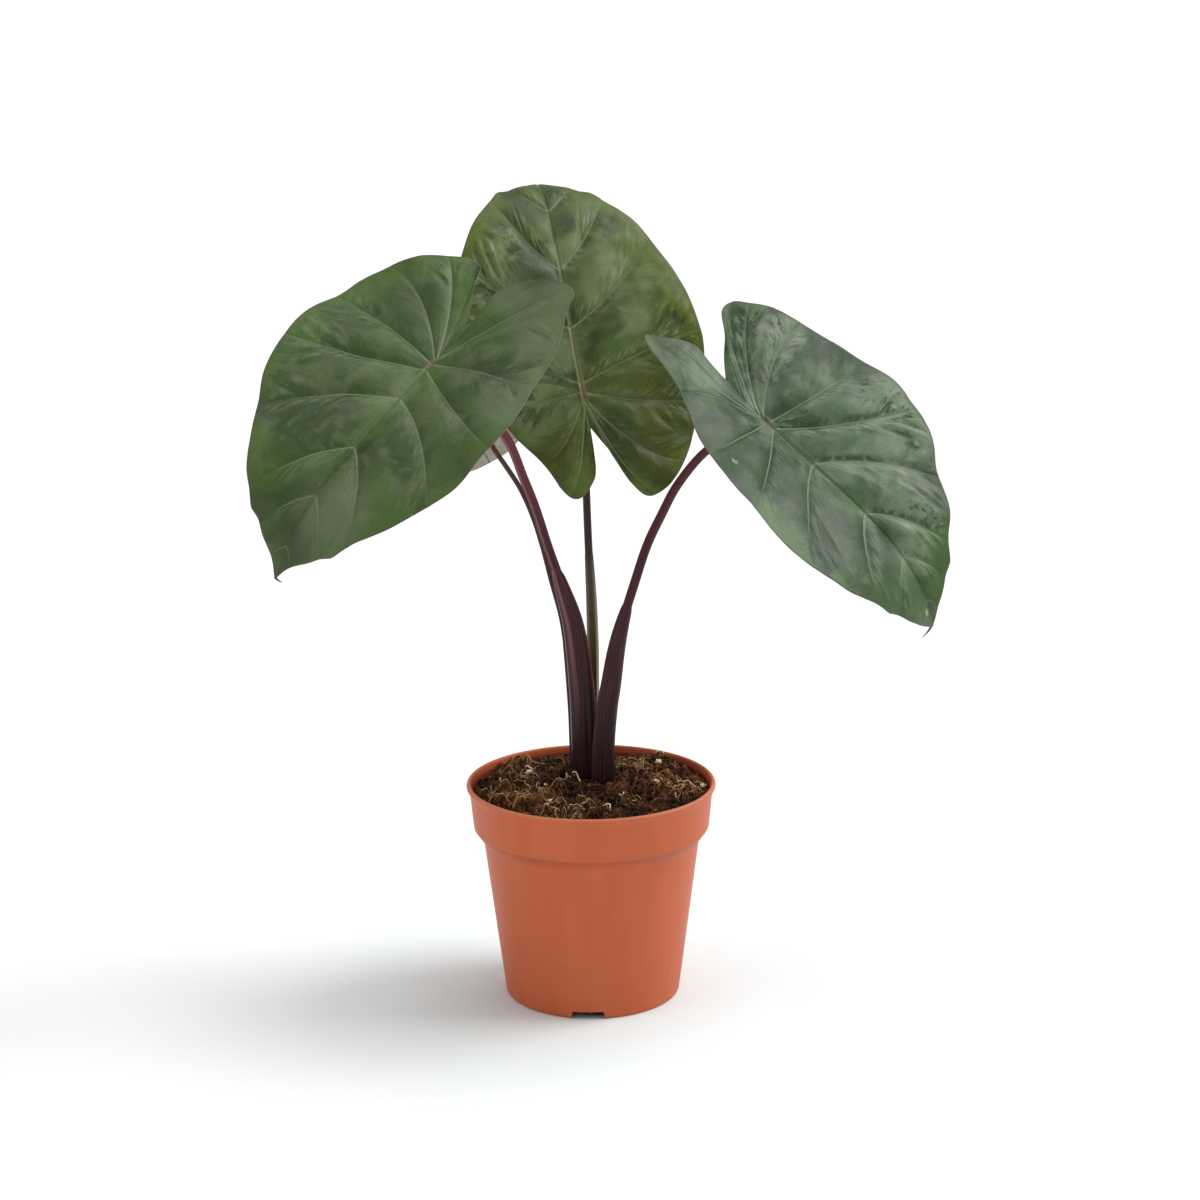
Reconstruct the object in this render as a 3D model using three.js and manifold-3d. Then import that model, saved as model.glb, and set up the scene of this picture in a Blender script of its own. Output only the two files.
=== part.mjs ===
// A young elephant-ear plant, with three large leaves and a small one, in a plastic nursery pot.
// Millimetres, +Z up. The origin is on the pot's axis, on the surface that the pot stands on.
// The plant is seen from the front along +Y, so X is to the right and Y goes away from the viewer.

import * as THREE from 'three';
import { mergeVertices } from 'three/addons/utils/BufferGeometryUtils.js';
import Module from 'manifold-3d';

const wasm = await Module();
wasm.setup();

const clearance = 0.3; // between pieces that touch
const segments = 56; // around the pot and the soil

// The pot: a rolled lip, a tall band below it, a sloping step and a tapered wall.
const pot = {
  rimRadius: 60,
  height: 105.7,
  lipHeight: 3.4,
  bandTopRadius: 58.4,
  bandFootRadius: 56.7,
  bandFoot: 84,
  wallTopRadius: 52,
  stepFoot: 77.5,
  footRadius: 42.2,
  wall: 1.3,
  floor: 1.4,
};

// Three raised channels in the floor run from a flat pad in the middle out through the wall.
const channel = {
  count: 3,
  firstAngle: -93, // degrees from +X, so that one faces the viewer
  start: 13,
  halfWidth: 7.4,
  footHalfWidth: 8.4,
  height: 3.7,
  roof: 1.3,
  holeRadius: 3.5,
  holeAt: 27,
};

// The soil is a low mound round the stems, with a heap at the right of the back and a hollow in
// front of it. Fibres and pale mineral grains lie in its top.
const soil = {
  edgeHeight: 100,
  moundHeight: 4.5,
  moundRadius: 30,
  moundAt: [1, 8],
  heapHeight: 6.5,
  heapRadius: 10,
  heapAt: [37, 34],
  hollowDepth: 4.5,
  hollowRadius: 7,
  hollowAt: [22, -12],
  rings: 8,
  fibres: 22,
  fibreRadius: 0.55,
  grains: 24,
  grainRadius: 1.3,
  seed: 41,
};

// The corm that the stems grow from, and its roots.
const corm = {
  at: [-0.5, 12],
  top: 91,
  height: 32,
  radius: 15.5,
  roots: 7,
  rootRadius: 1.2,
  rootReach: 27,
  rootDepth: 24, // below the corm's foot, on average
};

// Each petiole runs through the points of its path, from the corm to just below its blade.
// It is round above `sheathTop`. Below that, a sheath widens it towards `facing`.
const petioles = {
  left: {
    path: [[-2.4, 12, 99], [-3, 11.5, 132], [-3.8, 11, 148], [-7.5, 9, 180], [-13, 7, 200],
      [-19.4, 4.5, 220], [-25.2, 1.5, 240], [-30.2, -1, 254], [-38.2, -6, 275], [-54, -12, 294]],
    facing: [1, 0, 0],
    sheathTop: 207,
    radius: [2.1, 2.4],
    sheathWidth: 4.5,
    sheathDepth: 2.1,
  },
  right: {
    path: [[5.6, 4, 99], [6, 4, 123], [7.9, 3.5, 142], [9.6, 3, 152], [12.4, 2, 170],
      [15.1, 1.5, 182], [21.4, 0.5, 203], [27.5, -1, 222], [34.3, -3, 237], [41.4, -5, 251],
      [54.7, -9, 268], [67, -13, 276]],
    facing: [-1, 0, 0],
    sheathTop: 192,
    radius: [1.9, 2.5],
    sheathWidth: 3.4,
    sheathDepth: 1.6,
  },
  back: {
    path: [[0.6, 22.5, 99], [1.2, 21.5, 140], [1.4, 20.5, 165], [0.9, 19.5, 190], [-0.2, 19.5, 215],
      [-1, 20.5, 240], [-1.6, 22.5, 262]],
    facing: [0, -1, 0],
    sheathTop: 214,
    radius: [1.7, 2.1],
    sheathWidth: 2.6,
    sheathDepth: 1.1,
  },
  small: {
    path: [[-8.4, 18.5, 99], [-8.6, 18.5, 118], [-9.5, 18.5, 141], [-13.2, 20, 179],
      [-18.2, 22, 199], [-22.5, 24.5, 216], [-27, 27.5, 230], [-33, 31, 243]],
    facing: [1, 0, 0],
    sheathTop: 170,
    radius: [1.2, 1.3],
    sheathWidth: 0.7,
    sheathDepth: 0.3,
  },
};

// What all the petioles share.
const stalk = {
  sides: 12,
  steps: 21,
  straightEnd: 7, // square to the blade
  sheathRamp: 26, // how far below its top the sheath is about two thirds open
  furrowDepth: 0.22, // of the sheath's width
  furrowWidth: 0.25,
};

// Each blade hangs from its junction with the petiole. Its points are [u, v]: u out from the midrib
// and v along it, towards the tip. The last is the notch between the basal lobes. A rib ends at each
// point, and starts on the midrib at the v that `roots` gives. Angles are in degrees: `azimuth` is
// where the tip points (0 is +Y, 90 is +X), `droop` how far it slopes down there, `roll` how far the
// right side is lifted. `tipDroop` is the further droop at the tip, `fold` how far each half rises
// from the midrib; `lobeRise`, `curl` and `twist` are per 100 mm, and `bow` is mm sideways at 100 mm.
const blades = {
  left: {
    junction: [-71, -17, 311],
    azimuth: -136,
    droop: 33,
    roll: 15,
    tipDroop: 53,
    lobeRise: 22,
    fold: 10,
    curl: 3,
    twist: 10,
    bow: 3,
    roots: [128, 112, 86, 57, 24, 4, 0, -2, -4, -6, -11, -26],
    right: [[0, 128], [5, 118], [16, 107], [28, 96], [51, 63], [67, 24], [65, -11], [54, -39],
      [32, -57], [15, -59], [8, -44], [0, -26]],
    left: [[0, 128], [6, 120], [18, 112], [31, 102], [54, 70], [64, 36], [61, -3], [53, -43],
      [46, -58], [21, -59], [5, -47], [0, -26]],
  },
  right: {
    junction: [82.5, -17, 282.5],
    azimuth: 120,
    droop: 37,
    roll: -21,
    tipDroop: 69,
    lobeRise: 40,
    fold: 14,
    curl: 2,
    twist: -7,
    bow: -6,
    roots: [128, 112, 88, 62, 29, 4, 0, -2, -4, -7, -16, -28],
    right: [[0, 128], [10, 120], [22, 109], [34, 97], [51, 68], [57, 34], [50, 1], [38, -33],
      [39, -64], [22, -60], [4, -46], [0, -28]],
    left: [[0, 128], [5, 117], [13, 106], [23, 94], [41, 70], [58, 41], [61, 7], [51, -30],
      [36, -52], [22, -57], [12, -44], [0, -28]],
  },
  back: {
    junction: [-2, 26, 289],
    azimuth: -37,
    droop: -71,
    roll: 23,
    tipDroop: 109,
    lobeRise: 17,
    fold: 0,
    curl: 8,
    twist: -6,
    bow: 5,
    roots: [138, 120, 93, 61, 32, 5, 1, -1, -3, -6, -10, -16],
    right: [[0, 138], [6, 126], [16, 113], [29, 97], [49, 71], [64, 22], [55, -12], [41, -40],
      [23, -54], [13, -45], [6, -28], [0, -16]],
    left: [[0, 138], [6, 126], [16, 114], [27, 104], [48, 74], [63, 34], [44, 0], [26, -29],
      [16, -48], [4, -41], [1, -27], [0, -16]],
  },
  small: {
    junction: [-50, 42, 272],
    azimuth: -56,
    droop: 40,
    roll: -22,
    tipDroop: 40,
    lobeRise: 17,
    fold: 8,
    curl: 3,
    twist: 0,
    bow: 0,
    roots: [62, 53, 41, 27, 13, 3, 1, -1, -2, -4, -6, -9],
    right: [[0, 62], [4, 56], [10, 50], [18, 42], [28, 29], [35, 10], [32, -7], [25, -18],
      [16, -22], [8, -21], [3, -15], [0, -9]],
    left: [[0, 62], [4, 56], [9, 50], [16, 42], [26, 29], [32, 10], [30, -7], [23, -18],
      [15, -22], [8, -21], [3, -15], [0, -9]],
  },
};

// What all the blades share: how far each rib arches between its ends, as a share of its rise along
// the midrib, and the relief.
const ribArch = [-0.5, -0.5, -0.5, -0.5, -0.45, 0.3, 0.7, 0.8, 0.5, 0.1, 0, 0];
const relief = {
  thickness: 0.8,
  midribHeight: 2.2,
  midribHalfWidth: 2,
  ribHeight: 0.8,
  ribHalfWidth: 1.1,
  quilting: 1.5, // how far the blade bulges between two ribs
  wave: 1.5, // how far the margin waves
  wavePitch: 2.3, // ribs to one wave
};
const ribSteps = [0, 0.12, 0.5, 0.88]; // stations across a panel between two ribs
const outSteps = [0, 0.08, 0.3, 0.55, 0.8, 1]; // stations from the midrib to the margin

const colours = {
  pot: 0xb8643c,
  soil: 0x4a3222,
  corm: 0x6b4a30,
  petiole: 0x42222a,
  left: 0x4a5f45,
  right: 0x4b6650,
  back: 0x566b38,
  small: 0x8f8a7c,
};

const radians = THREE.MathUtils.degToRad;

// Fixed random numbers from 0 to 1, the same on each run.
function randomNumbers(seed) {
  let state = seed;
  return () => {
    state = (state * 1664525 + 1013904223) % 4294967296;
    return state / 4294967296;
  };
}

// A closed geometry becomes a solid: shared corners are merged, triangles with no area are left out,
// and all of it is turned outward.
function toSolid(geometry) {
  geometry.deleteAttribute('normal');
  geometry.deleteAttribute('uv');
  const merged = mergeVertices(geometry, 1e-4);
  const corners = merged.attributes.position;
  const at = (i) => new THREE.Vector3().fromBufferAttribute(corners, i);
  const triangles = [];
  let volume = 0;
  for (let k = 0; k < merged.index.count; k += 3) {
    const [a, b, c] = [0, 1, 2].map((i) => merged.index.getX(k + i));
    if (a === b || b === c || c === a) continue;
    triangles.push([a, b, c]);
    volume += at(a).dot(at(b).cross(at(c)));
  }
  const outward = triangles.map(([a, b, c]) => (volume > 0 ? [a, b, c] : [a, c, b]));
  const mesh = new wasm.Mesh({
    numProp: 3,
    vertProperties: new Float32Array(corners.array),
    triVerts: new Uint32Array(outward.flat()),
  });
  return new wasm.Manifold(mesh);
}

function toGeometry(solid) {
  const mesh = solid.getMesh();
  const geometry = new THREE.BufferGeometry();
  geometry.setAttribute('position', new THREE.BufferAttribute(mesh.vertProperties, 3));
  geometry.setIndex(new THREE.BufferAttribute(mesh.triVerts, 1));
  return geometry;
}

// A geometry from a list of triangles, each with three corner points.
function fromTriangles(triangles) {
  return new THREE.BufferGeometry().setFromPoints(triangles.flat());
}

// The closed skin of rings of points, with a flat end on the first and the last ring.
function skinOfRings(rings) {
  const triangles = [];
  const count = rings[0].length;
  for (let k = 0; k < rings.length - 1; k += 1) {
    for (let i = 0; i < count; i += 1) {
      const j = (i + 1) % count;
      triangles.push([rings[k][i], rings[k][j], rings[k + 1][j]]);
      triangles.push([rings[k][i], rings[k + 1][j], rings[k + 1][i]]);
    }
  }
  const ends = [[rings[0], true], [rings[rings.length - 1], false]];
  for (const [ring, first] of ends) {
    const middle = new THREE.Vector3();
    ring.forEach((point) => middle.addScaledVector(point, 1 / count));
    for (let i = 0; i < count; i += 1) {
      const j = (i + 1) % count;
      triangles.push(first ? [middle, ring[j], ring[i]] : [middle, ring[i], ring[j]]);
    }
  }
  return fromTriangles(triangles);
}

// A closed outline of [radius, height] points turned about the Z axis.
function turned(outline) {
  const geometry = new THREE.LatheGeometry(outline.map(([r, z]) => new THREE.Vector2(r, z)), segments);
  geometry.rotateX(Math.PI / 2);
  return toSolid(geometry);
}

// A round cord through points, as an extruded ring of a few sides.
function cord(points, radius, sides, steps) {
  const section = new THREE.Shape();
  for (let i = 0; i < sides; i += 1) {
    const turn = (2 * Math.PI * i) / sides;
    const [x, y] = [radius * Math.cos(turn), radius * Math.sin(turn)];
    if (i === 0) section.moveTo(x, y);
    else section.lineTo(x, y);
  }
  const path = new THREE.CatmullRomCurve3(points.map((p) => new THREE.Vector3(...p)));
  const shape = { steps, extrudePath: path, bevelEnabled: false };
  return toSolid(new THREE.ExtrudeGeometry(section, shape));
}

// Pot

// The inner wall, from the lip down to the floor, as [radius, height].
const potInside = [
  [pot.bandTopRadius - pot.wall, pot.height - pot.lipHeight - 1],
  [pot.bandFootRadius - pot.wall, pot.bandFoot + 0.8],
  [pot.wallTopRadius - pot.wall, pot.stepFoot + 0.8],
  [pot.footRadius - pot.wall + 0.2, pot.floor],
];

function innerRadius(z) {
  for (let i = 0; i < potInside.length - 1; i += 1) {
    const [[r0, z0], [r1, z1]] = [potInside[i], potInside[i + 1]];
    if (z >= z1) return r1 + ((r0 - r1) * (z - z1)) / (z0 - z1);
  }
  return potInside[potInside.length - 1][0];
}

function potOutline() {
  const lipFoot = pot.height - pot.lipHeight;
  return [
    [0, 0],
    [pot.footRadius - 0.8, 0],
    [pot.footRadius, 0.8],
    [pot.wallTopRadius, pot.stepFoot],
    [pot.bandFootRadius - 0.5, pot.bandFoot - 0.7],
    [pot.bandFootRadius, pot.bandFoot],
    [pot.bandTopRadius, lipFoot],
    [pot.rimRadius - 0.4, lipFoot + 0.5],
    [pot.rimRadius, lipFoot + 1.6],
    [pot.rimRadius - 0.3, pot.height - 0.6],
    [pot.rimRadius - 1.2, pot.height],
    [pot.rimRadius - 2.3, pot.height - 0.5],
    ...potInside,
    [0, pot.floor],
  ];
}

// A bar along +X, as wide at the foot as at the top or wider: the inside or outside of a channel.
function channelBar(start, end, foot, top, bottom, height) {
  const section = new THREE.Shape();
  section.moveTo(-foot, bottom);
  section.lineTo(foot, bottom);
  section.lineTo(top, height);
  section.lineTo(-top, height);
  const geometry = new THREE.ExtrudeGeometry(section, { depth: end - start, bevelEnabled: false });
  geometry.rotateX(Math.PI / 2);
  geometry.rotateZ(Math.PI / 2);
  geometry.translate(start, 0, 0);
  return geometry;
}

// The same bar at each channel's angle, as one solid.
function atEachChannel(makeBar) {
  let all = null;
  for (let k = 0; k < channel.count; k += 1) {
    const bar = makeBar();
    bar.rotateZ(radians(channel.firstAngle + (k * 360) / channel.count));
    const solid = toSolid(bar);
    all = all ? all.add(solid) : solid;
  }
  return all;
}

function channelRidges(extra) {
  const [foot, top] = [channel.footHalfWidth, channel.halfWidth].map((w) => w + channel.roof + extra);
  const end = innerRadius(0) + pot.wall / 2;
  const height = channel.height + channel.roof + extra;
  const start = channel.start - channel.roof - extra;
  return atEachChannel(() => channelBar(start, end, foot, top, pot.floor / 2, height));
}

function channelHollows() {
  const { start, footHalfWidth, halfWidth, height } = channel;
  return atEachChannel(() => channelBar(start, pot.footRadius + 2, footHalfWidth, halfWidth, -1, height));
}

function drainHoles() {
  return atEachChannel(() => {
    const hole = new THREE.CylinderGeometry(channel.holeRadius, channel.holeRadius, 12, 16);
    hole.rotateX(Math.PI / 2);
    hole.translate(channel.holeAt, 0, channel.height);
    return hole;
  });
}

function makePot() {
  const shell = turned(potOutline()).add(channelRidges(0));
  return shell.subtract(channelHollows()).subtract(drainHoles());
}

// Blades

// A smooth curve through rows of numbers. Whole values of s give the rows themselves.
function throughRows(rows, s) {
  const last = rows.length - 1;
  const i = Math.min(Math.floor(s), last - 1);
  const f = s - i;
  const row = (k) => {
    if (k < 0) return rows[0].map((value, n) => 2 * value - rows[1][n]);
    if (k > last) return rows[last].map((value, n) => 2 * value - rows[last - 1][n]);
    return rows[k];
  };
  const weights = [
    (-(f ** 3) + 2 * f ** 2 - f) / 2,
    (3 * f ** 3 - 5 * f ** 2 + 2) / 2,
    (-3 * f ** 3 + 4 * f ** 2 + f) / 2,
    (f ** 3 - f ** 2) / 2,
  ];
  return rows[0].map((_, n) => weights.reduce((sum, w, k) => sum + w * row(i - 1 + k)[n], 0));
}

// The midrib from the side: its place and slope in steps of 1 mm, bending as the cube of the
// distance to the tip, and evenly behind the junction.
function midribTable(blade) {
  const length = blade.roots[0];
  const behind = 90;
  const slopeAt = (v) => (v > 0
    ? -radians(blade.tipDroop) * (v / length) ** 3
    : (radians(blade.lobeRise) * v) / 100);
  const table = new Map([[0, { y: 0, z: 0, slope: 0 }]]);
  for (const step of [1, -1]) {
    let [y, z] = [0, 0];
    for (let v = 0; v !== step * (step > 0 ? Math.ceil(length) + 10 : behind); v += step) {
      const middle = slopeAt(v + step / 2);
      y += step * Math.cos(middle);
      z += step * Math.sin(middle);
      table.set(v + step, { y, z, slope: slopeAt(v + step) });
    }
  }
  return table;
}

function alongMidrib(table, v) {
  const [a, b] = [table.get(Math.floor(v)), table.get(Math.floor(v) + 1)];
  const f = v - Math.floor(v);
  const mix = (key) => a[key] + (b[key] - a[key]) * f;
  return { y: mix('y'), z: mix('z'), slope: mix('slope') };
}

// The blade's own axes in space: across to its right, along the midrib, and up out of its face.
function bladeAxes(blade) {
  const [azimuth, droop, roll] = [blade.azimuth, blade.droop, blade.roll].map(radians);
  const along = new THREE.Vector3(
    Math.sin(azimuth) * Math.cos(droop),
    Math.cos(azimuth) * Math.cos(droop),
    -Math.sin(droop),
  );
  const level = new THREE.Vector3(Math.cos(azimuth), -Math.sin(azimuth), 0);
  const across = level.clone().applyAxisAngle(along, -roll);
  const up = new THREE.Vector3().crossVectors(across, along);
  return { across, along, up };
}

// A function that gives the point of a blade on one side (1 right, -1 left), at rib number s, the
// share t of the way from the midrib to the margin, and height h above the middle sheet.
function bladeSurface(blade) {
  const table = midribTable(blade);
  const { across, along, up } = bladeAxes(blade);
  const ribs = blade.roots.map((v, i) => [v, ribArch[i]]);
  const last = ribs.length - 1;
  return (side, s, t, h) => {
    const [edgeU, edgeV] = throughRows(side > 0 ? blade.right : blade.left, s);
    const [root, arch] = throughRows(ribs, s);
    const u = edgeU * t;
    const v = root + (edgeV - root) * (t + arch * t * (1 - t));
    const chord = radians(blade.fold) - (radians(blade.curl) * u) / 200;
    const lean = radians(blade.fold) - (radians(blade.curl) * u) / 100;
    const tilt = lean * Math.min(1, t / 0.08, 2 * s, 2 * (last - s));
    const flatX = side * (u * Math.cos(chord) - h * Math.sin(tilt));
    const flatZ = u * Math.sin(chord) + h * Math.cos(tilt);
    const twist = (radians(blade.twist) * v) / 100;
    const bow = blade.bow * Math.max(0, v / 100) ** 2;
    const x = flatX * Math.cos(twist) - flatZ * Math.sin(twist) + bow;
    const z = flatX * Math.sin(twist) + flatZ * Math.cos(twist);
    const midrib = alongMidrib(table, v);
    return new THREE.Vector3(...blade.junction)
      .addScaledVector(across, x)
      .addScaledVector(along, midrib.y - z * Math.sin(midrib.slope))
      .addScaledVector(up, midrib.z + z * Math.cos(midrib.slope));
  };
}

const bump = (distance, halfWidth) => Math.exp(-((distance / halfWidth) ** 2));

// How far the upper face stands above the middle sheet: it bulges between the ribs and the margin
// waves, and both die out at the tip and at the notch.
function upperHeight(blade, s, t) {
  const ends = Math.min(1, s, blade.roots.length - 1 - s);
  const quilting = relief.quilting * Math.sin(Math.PI * s) ** 2 * Math.sin(Math.PI * t ** 0.8);
  const wave = relief.wave * t ** 3 * Math.sin((2 * Math.PI * s) / relief.wavePitch);
  return ends * (quilting + wave);
}

// How thick the blade is: a thin sheet, with the midrib and the ribs standing out below it.
function thickness(blade, side, s, t) {
  const last = blade.roots.length - 1;
  const rows = side > 0 ? blade.right : blade.left;
  const [edgeU] = throughRows(rows, s);
  const [root] = throughRows(blade.roots.map((v) => [v]), s);
  const i = Math.min(Math.floor(s), last - 1);
  const gapOut = Math.hypot(rows[i + 1][0] - rows[i][0], rows[i + 1][1] - rows[i][1]);
  const gapIn = Math.abs(blade.roots[i + 1] - blade.roots[i]);
  const toRib = Math.min(s - i, i + 1 - s) * (gapIn + (gapOut - gapIn) * t);
  const taper = root > 0 ? 1 - (0.85 * root) / blade.roots[0] : bump(root, 8);
  const midrib = relief.midribHeight * taper * bump(edgeU * t, relief.midribHalfWidth);
  const rib = relief.ribHeight * (1 - t) * bump(toRib, relief.ribHalfWidth);
  const ends = Math.min(1, s, last - s);
  return relief.thickness + ends * Math.max(midrib, rib);
}

// Both faces are split into the same triangles, so the waved sheet never crosses itself.
function makeBlade(blade) {
  const surface = bladeSurface(blade);
  const last = blade.roots.length - 1;
  const stations = [];
  for (let i = 0; i < last; i += 1) ribSteps.forEach((step) => stations.push(i + step));
  stations.push(last);
  const triangles = [];
  const add = (side, a, b, c) => triangles.push(side > 0 ? [a, b, c] : [a, c, b]);
  for (const side of [1, -1]) {
    const upper = stations.map((s) => outSteps.map((t) => surface(side, s, t, upperHeight(blade, s, t))));
    const lower = stations.map((s) => outSteps.map((t) => {
      const height = upperHeight(blade, s, t) - thickness(blade, side, s, t);
      return surface(side, s, t, height);
    }));
    const edge = outSteps.length - 1;
    for (let k = 0; k < stations.length - 1; k += 1) {
      for (let c = 0; c < edge; c += 1) {
        add(side, upper[k][c], upper[k + 1][c], upper[k + 1][c + 1]);
        add(side, upper[k][c], upper[k + 1][c + 1], upper[k][c + 1]);
        add(-side, lower[k][c], lower[k + 1][c], lower[k + 1][c + 1]);
        add(-side, lower[k][c], lower[k + 1][c + 1], lower[k][c + 1]);
      }
      add(side, upper[k][edge], upper[k + 1][edge], lower[k + 1][edge]);
      add(side, upper[k][edge], lower[k + 1][edge], lower[k][edge]);
    }
  }
  return toSolid(fromTriangles(triangles));
}

// Petioles

// The path ends square to the blade, just below the midrib's ridge, and starts on the corm.
function petiolePath(petiole, blade, extra) {
  const { up } = bladeAxes(blade);
  const under = relief.thickness + relief.midribHeight + clearance;
  const beside = (distance) => new THREE.Vector3(...blade.junction).addScaledVector(up, -distance);
  const points = petiole.path.map((p) => new THREE.Vector3(...p));
  points.push(beside(under + stalk.straightEnd), beside(under));
  points.unshift(new THREE.Vector3(points[0].x, points[0].y, corm.top + clearance - extra));
  return new THREE.CatmullRomCurve3(points, false, 'centripetal');
}

// A ring across the path: round above the sheath, and below it drawn out towards the plant's
// middle, with a furrow between the sheath's two edges.
function petioleRing(petiole, point, tangent, share, extra) {
  const facing = new THREE.Vector3(...petiole.facing);
  facing.addScaledVector(tangent, -facing.dot(tangent)).normalize();
  const beside = new THREE.Vector3().crossVectors(tangent, facing);
  const below = Math.max(0, petiole.sheathTop - point.z);
  const opened = 1 - Math.exp(-below / stalk.sheathRamp);
  const [thin, thick] = petiole.radius;
  const radius = thick + (thin - thick) * share;
  const half = radius + petiole.sheathWidth * opened + extra;
  const depth = radius + petiole.sheathDepth * opened + extra;
  const furrowDepth = extra > 0 ? 0 : stalk.furrowDepth * opened;
  const ring = [];
  for (let i = 0; i < stalk.sides; i += 1) {
    const turn = (2 * Math.PI * i) / stalk.sides;
    const furrow = 1 - furrowDepth * bump(Math.sin(turn / 2), stalk.furrowWidth);
    ring.push(point.clone()
      .addScaledVector(facing, half * furrow * Math.cos(turn))
      .addScaledVector(beside, depth * Math.sin(turn)));
  }
  return ring;
}

function makePetiole(petiole, blade, extra = 0) {
  const curve = petiolePath(petiole, blade, extra);
  const rings = [];
  for (let k = 0; k <= stalk.steps; k += 1) {
    const share = k / stalk.steps;
    rings.push(petioleRing(petiole, curve.getPointAt(share), curve.getTangentAt(share), share, extra));
  }
  return toSolid(skinOfRings(rings));
}

// Corm and soil

// The outline of the corm, with a flat crown for the petioles and rounded shoulders.
function makeCorm(extra = 0) {
  const [x, y] = corm.at;
  const foot = corm.top - corm.height;
  const outline = [[0, -extra], [0.45, -extra], [0.8, 0.12], [1, 0.45], [1, 0.8], [0.88, 1], [0, 1]];
  const points = outline.map(([r, z], i) => {
    const height = i < 2 ? foot - extra : foot + z * corm.height;
    const grown = r === 0 ? 0 : r * corm.radius + extra;
    return new THREE.Vector2(grown, z === 1 ? height + extra : height);
  });
  const body = new THREE.LatheGeometry(points, 16);
  body.rotateX(Math.PI / 2);
  body.translate(x, y, 0);
  let solid = toSolid(body);
  for (let k = 0; k < corm.roots; k += 1) {
    const turn = (2 * Math.PI * (k + 0.3)) / corm.roots;
    const reach = corm.rootReach + 3 * Math.cos(2.4 * k);
    const end = foot - corm.rootDepth + 8 * Math.cos(1.7 * k);
    const at = (r, z) => [x + r * Math.cos(turn), 0.6 * y + r * Math.sin(turn), z];
    const path = [[x + 6 * Math.cos(turn), y + 6 * Math.sin(turn), foot + 8],
      at(0.75 * reach, foot - 2), at(reach, end), at(0.8 * reach, end - 14 - extra)];
    solid = solid.add(cord(path, corm.rootRadius + extra, 5, 6));
  }
  return solid;
}

// The height of the soil's top at a place, with clumps and hollows.
function soilHeight(x, y) {
  const [[mx, my], [hx, hy], [ox, oy]] = [soil.moundAt, soil.heapAt, soil.hollowAt];
  const mound = soil.moundHeight * bump(Math.hypot(x - mx, y - my), soil.moundRadius);
  const clumps = 0.9 * Math.sin(0.19 * x + 1.1) * Math.cos(0.23 * y - 0.4)
    + 0.6 * Math.sin(0.41 * x - 0.33 * y) + 0.5 * Math.cos(0.37 * x + 0.52 * y + 2);
  const heap = soil.heapHeight * bump(Math.hypot(x - hx, y - hy), soil.heapRadius);
  const hollow = soil.hollowDepth * bump(Math.hypot(x - ox, y - oy), soil.hollowRadius);
  return soil.edgeHeight + mound + clumps + heap - hollow;
}

// The soil's body: a floor above the pot's, a side that follows the pot's inner wall, and the top.
function soilBody() {
  const levels = [pot.floor + clearance, pot.stepFoot + 0.8, pot.bandFoot + 0.8];
  const rings = [];
  const ringAt = (radius, height) => {
    const ring = [];
    for (let i = 0; i < segments; i += 1) {
      const turn = (2 * Math.PI * i) / segments;
      const [x, y] = [radius * Math.sin(turn), -radius * Math.cos(turn)];
      ring.push(new THREE.Vector3(x, y, height ?? soilHeight(x, y)));
    }
    return ring;
  };
  levels.forEach((z) => rings.push(ringAt(innerRadius(z) - clearance - 0.05, z)));
  const edge = innerRadius(soil.edgeHeight - 2) - clearance - 0.05;
  for (let k = soil.rings; k > 0; k -= 1) rings.push(ringAt((edge * k) / soil.rings));
  return toSolid(skinOfRings(rings));
}

// Fibres lie half sunk in the top, and grains sit in it.
function soilLitter() {
  const random = randomNumbers(soil.seed);
  const spot = (reach) => {
    const [turn, radius] = [2 * Math.PI * random(), reach * Math.sqrt(random())];
    return [radius * Math.cos(turn), radius * Math.sin(turn)];
  };
  const pieces = [];
  for (let k = 0; k < soil.fibres; k += 1) {
    const [x, y] = spot(44);
    const [heading, length, sag] = [2 * Math.PI * random(), 9 + 9 * random(), 3 * random()];
    const at = (share, lift) => {
      const px = x + share * length * Math.cos(heading) - sag * share * share * Math.sin(heading);
      const py = y + share * length * Math.sin(heading) + sag * share * share * Math.cos(heading);
      return [px, py, soilHeight(px, py) + lift];
    };
    const points = [at(-0.5, -0.6), at(-0.2, 0.4), at(0.15, 0.5), at(0.5, -0.5)];
    pieces.push(cord(points, soil.fibreRadius, 3, 4));
  }
  for (let k = 0; k < soil.grains; k += 1) {
    const [x, y] = spot(51);
    const radius = soil.grainRadius * (0.6 + 0.7 * random());
    const grain = new THREE.IcosahedronGeometry(radius, 0);
    grain.scale(1, 0.8 + 0.3 * random(), 0.8);
    grain.rotateZ(6 * random());
    grain.translate(x, y, soilHeight(x, y) + 0.2 * radius);
    pieces.push(toSolid(grain));
  }
  return pieces;
}

// The largest of a solid's separate bodies.
function largestBody(solid) {
  return solid.decompose().reduce((a, b) => (a.volume() > b.volume() ? a : b));
}

function makeSoil() {
  let solid = soilBody();
  soilLitter().forEach((piece) => {
    solid = solid.add(piece);
  });
  solid = solid.subtract(channelRidges(clearance)).subtract(makeCorm(clearance));
  for (const name of Object.keys(petioles)) {
    solid = solid.subtract(makePetiole(petioles[name], blades[name], clearance));
  }
  return largestBody(solid);
}

function named(name, solid, color, roughness) {
  const material = new THREE.MeshStandardMaterial({ color, roughness, metalness: 0 });
  const mesh = new THREE.Mesh(toGeometry(solid), material);
  mesh.name = name;
  return mesh;
}

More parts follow.
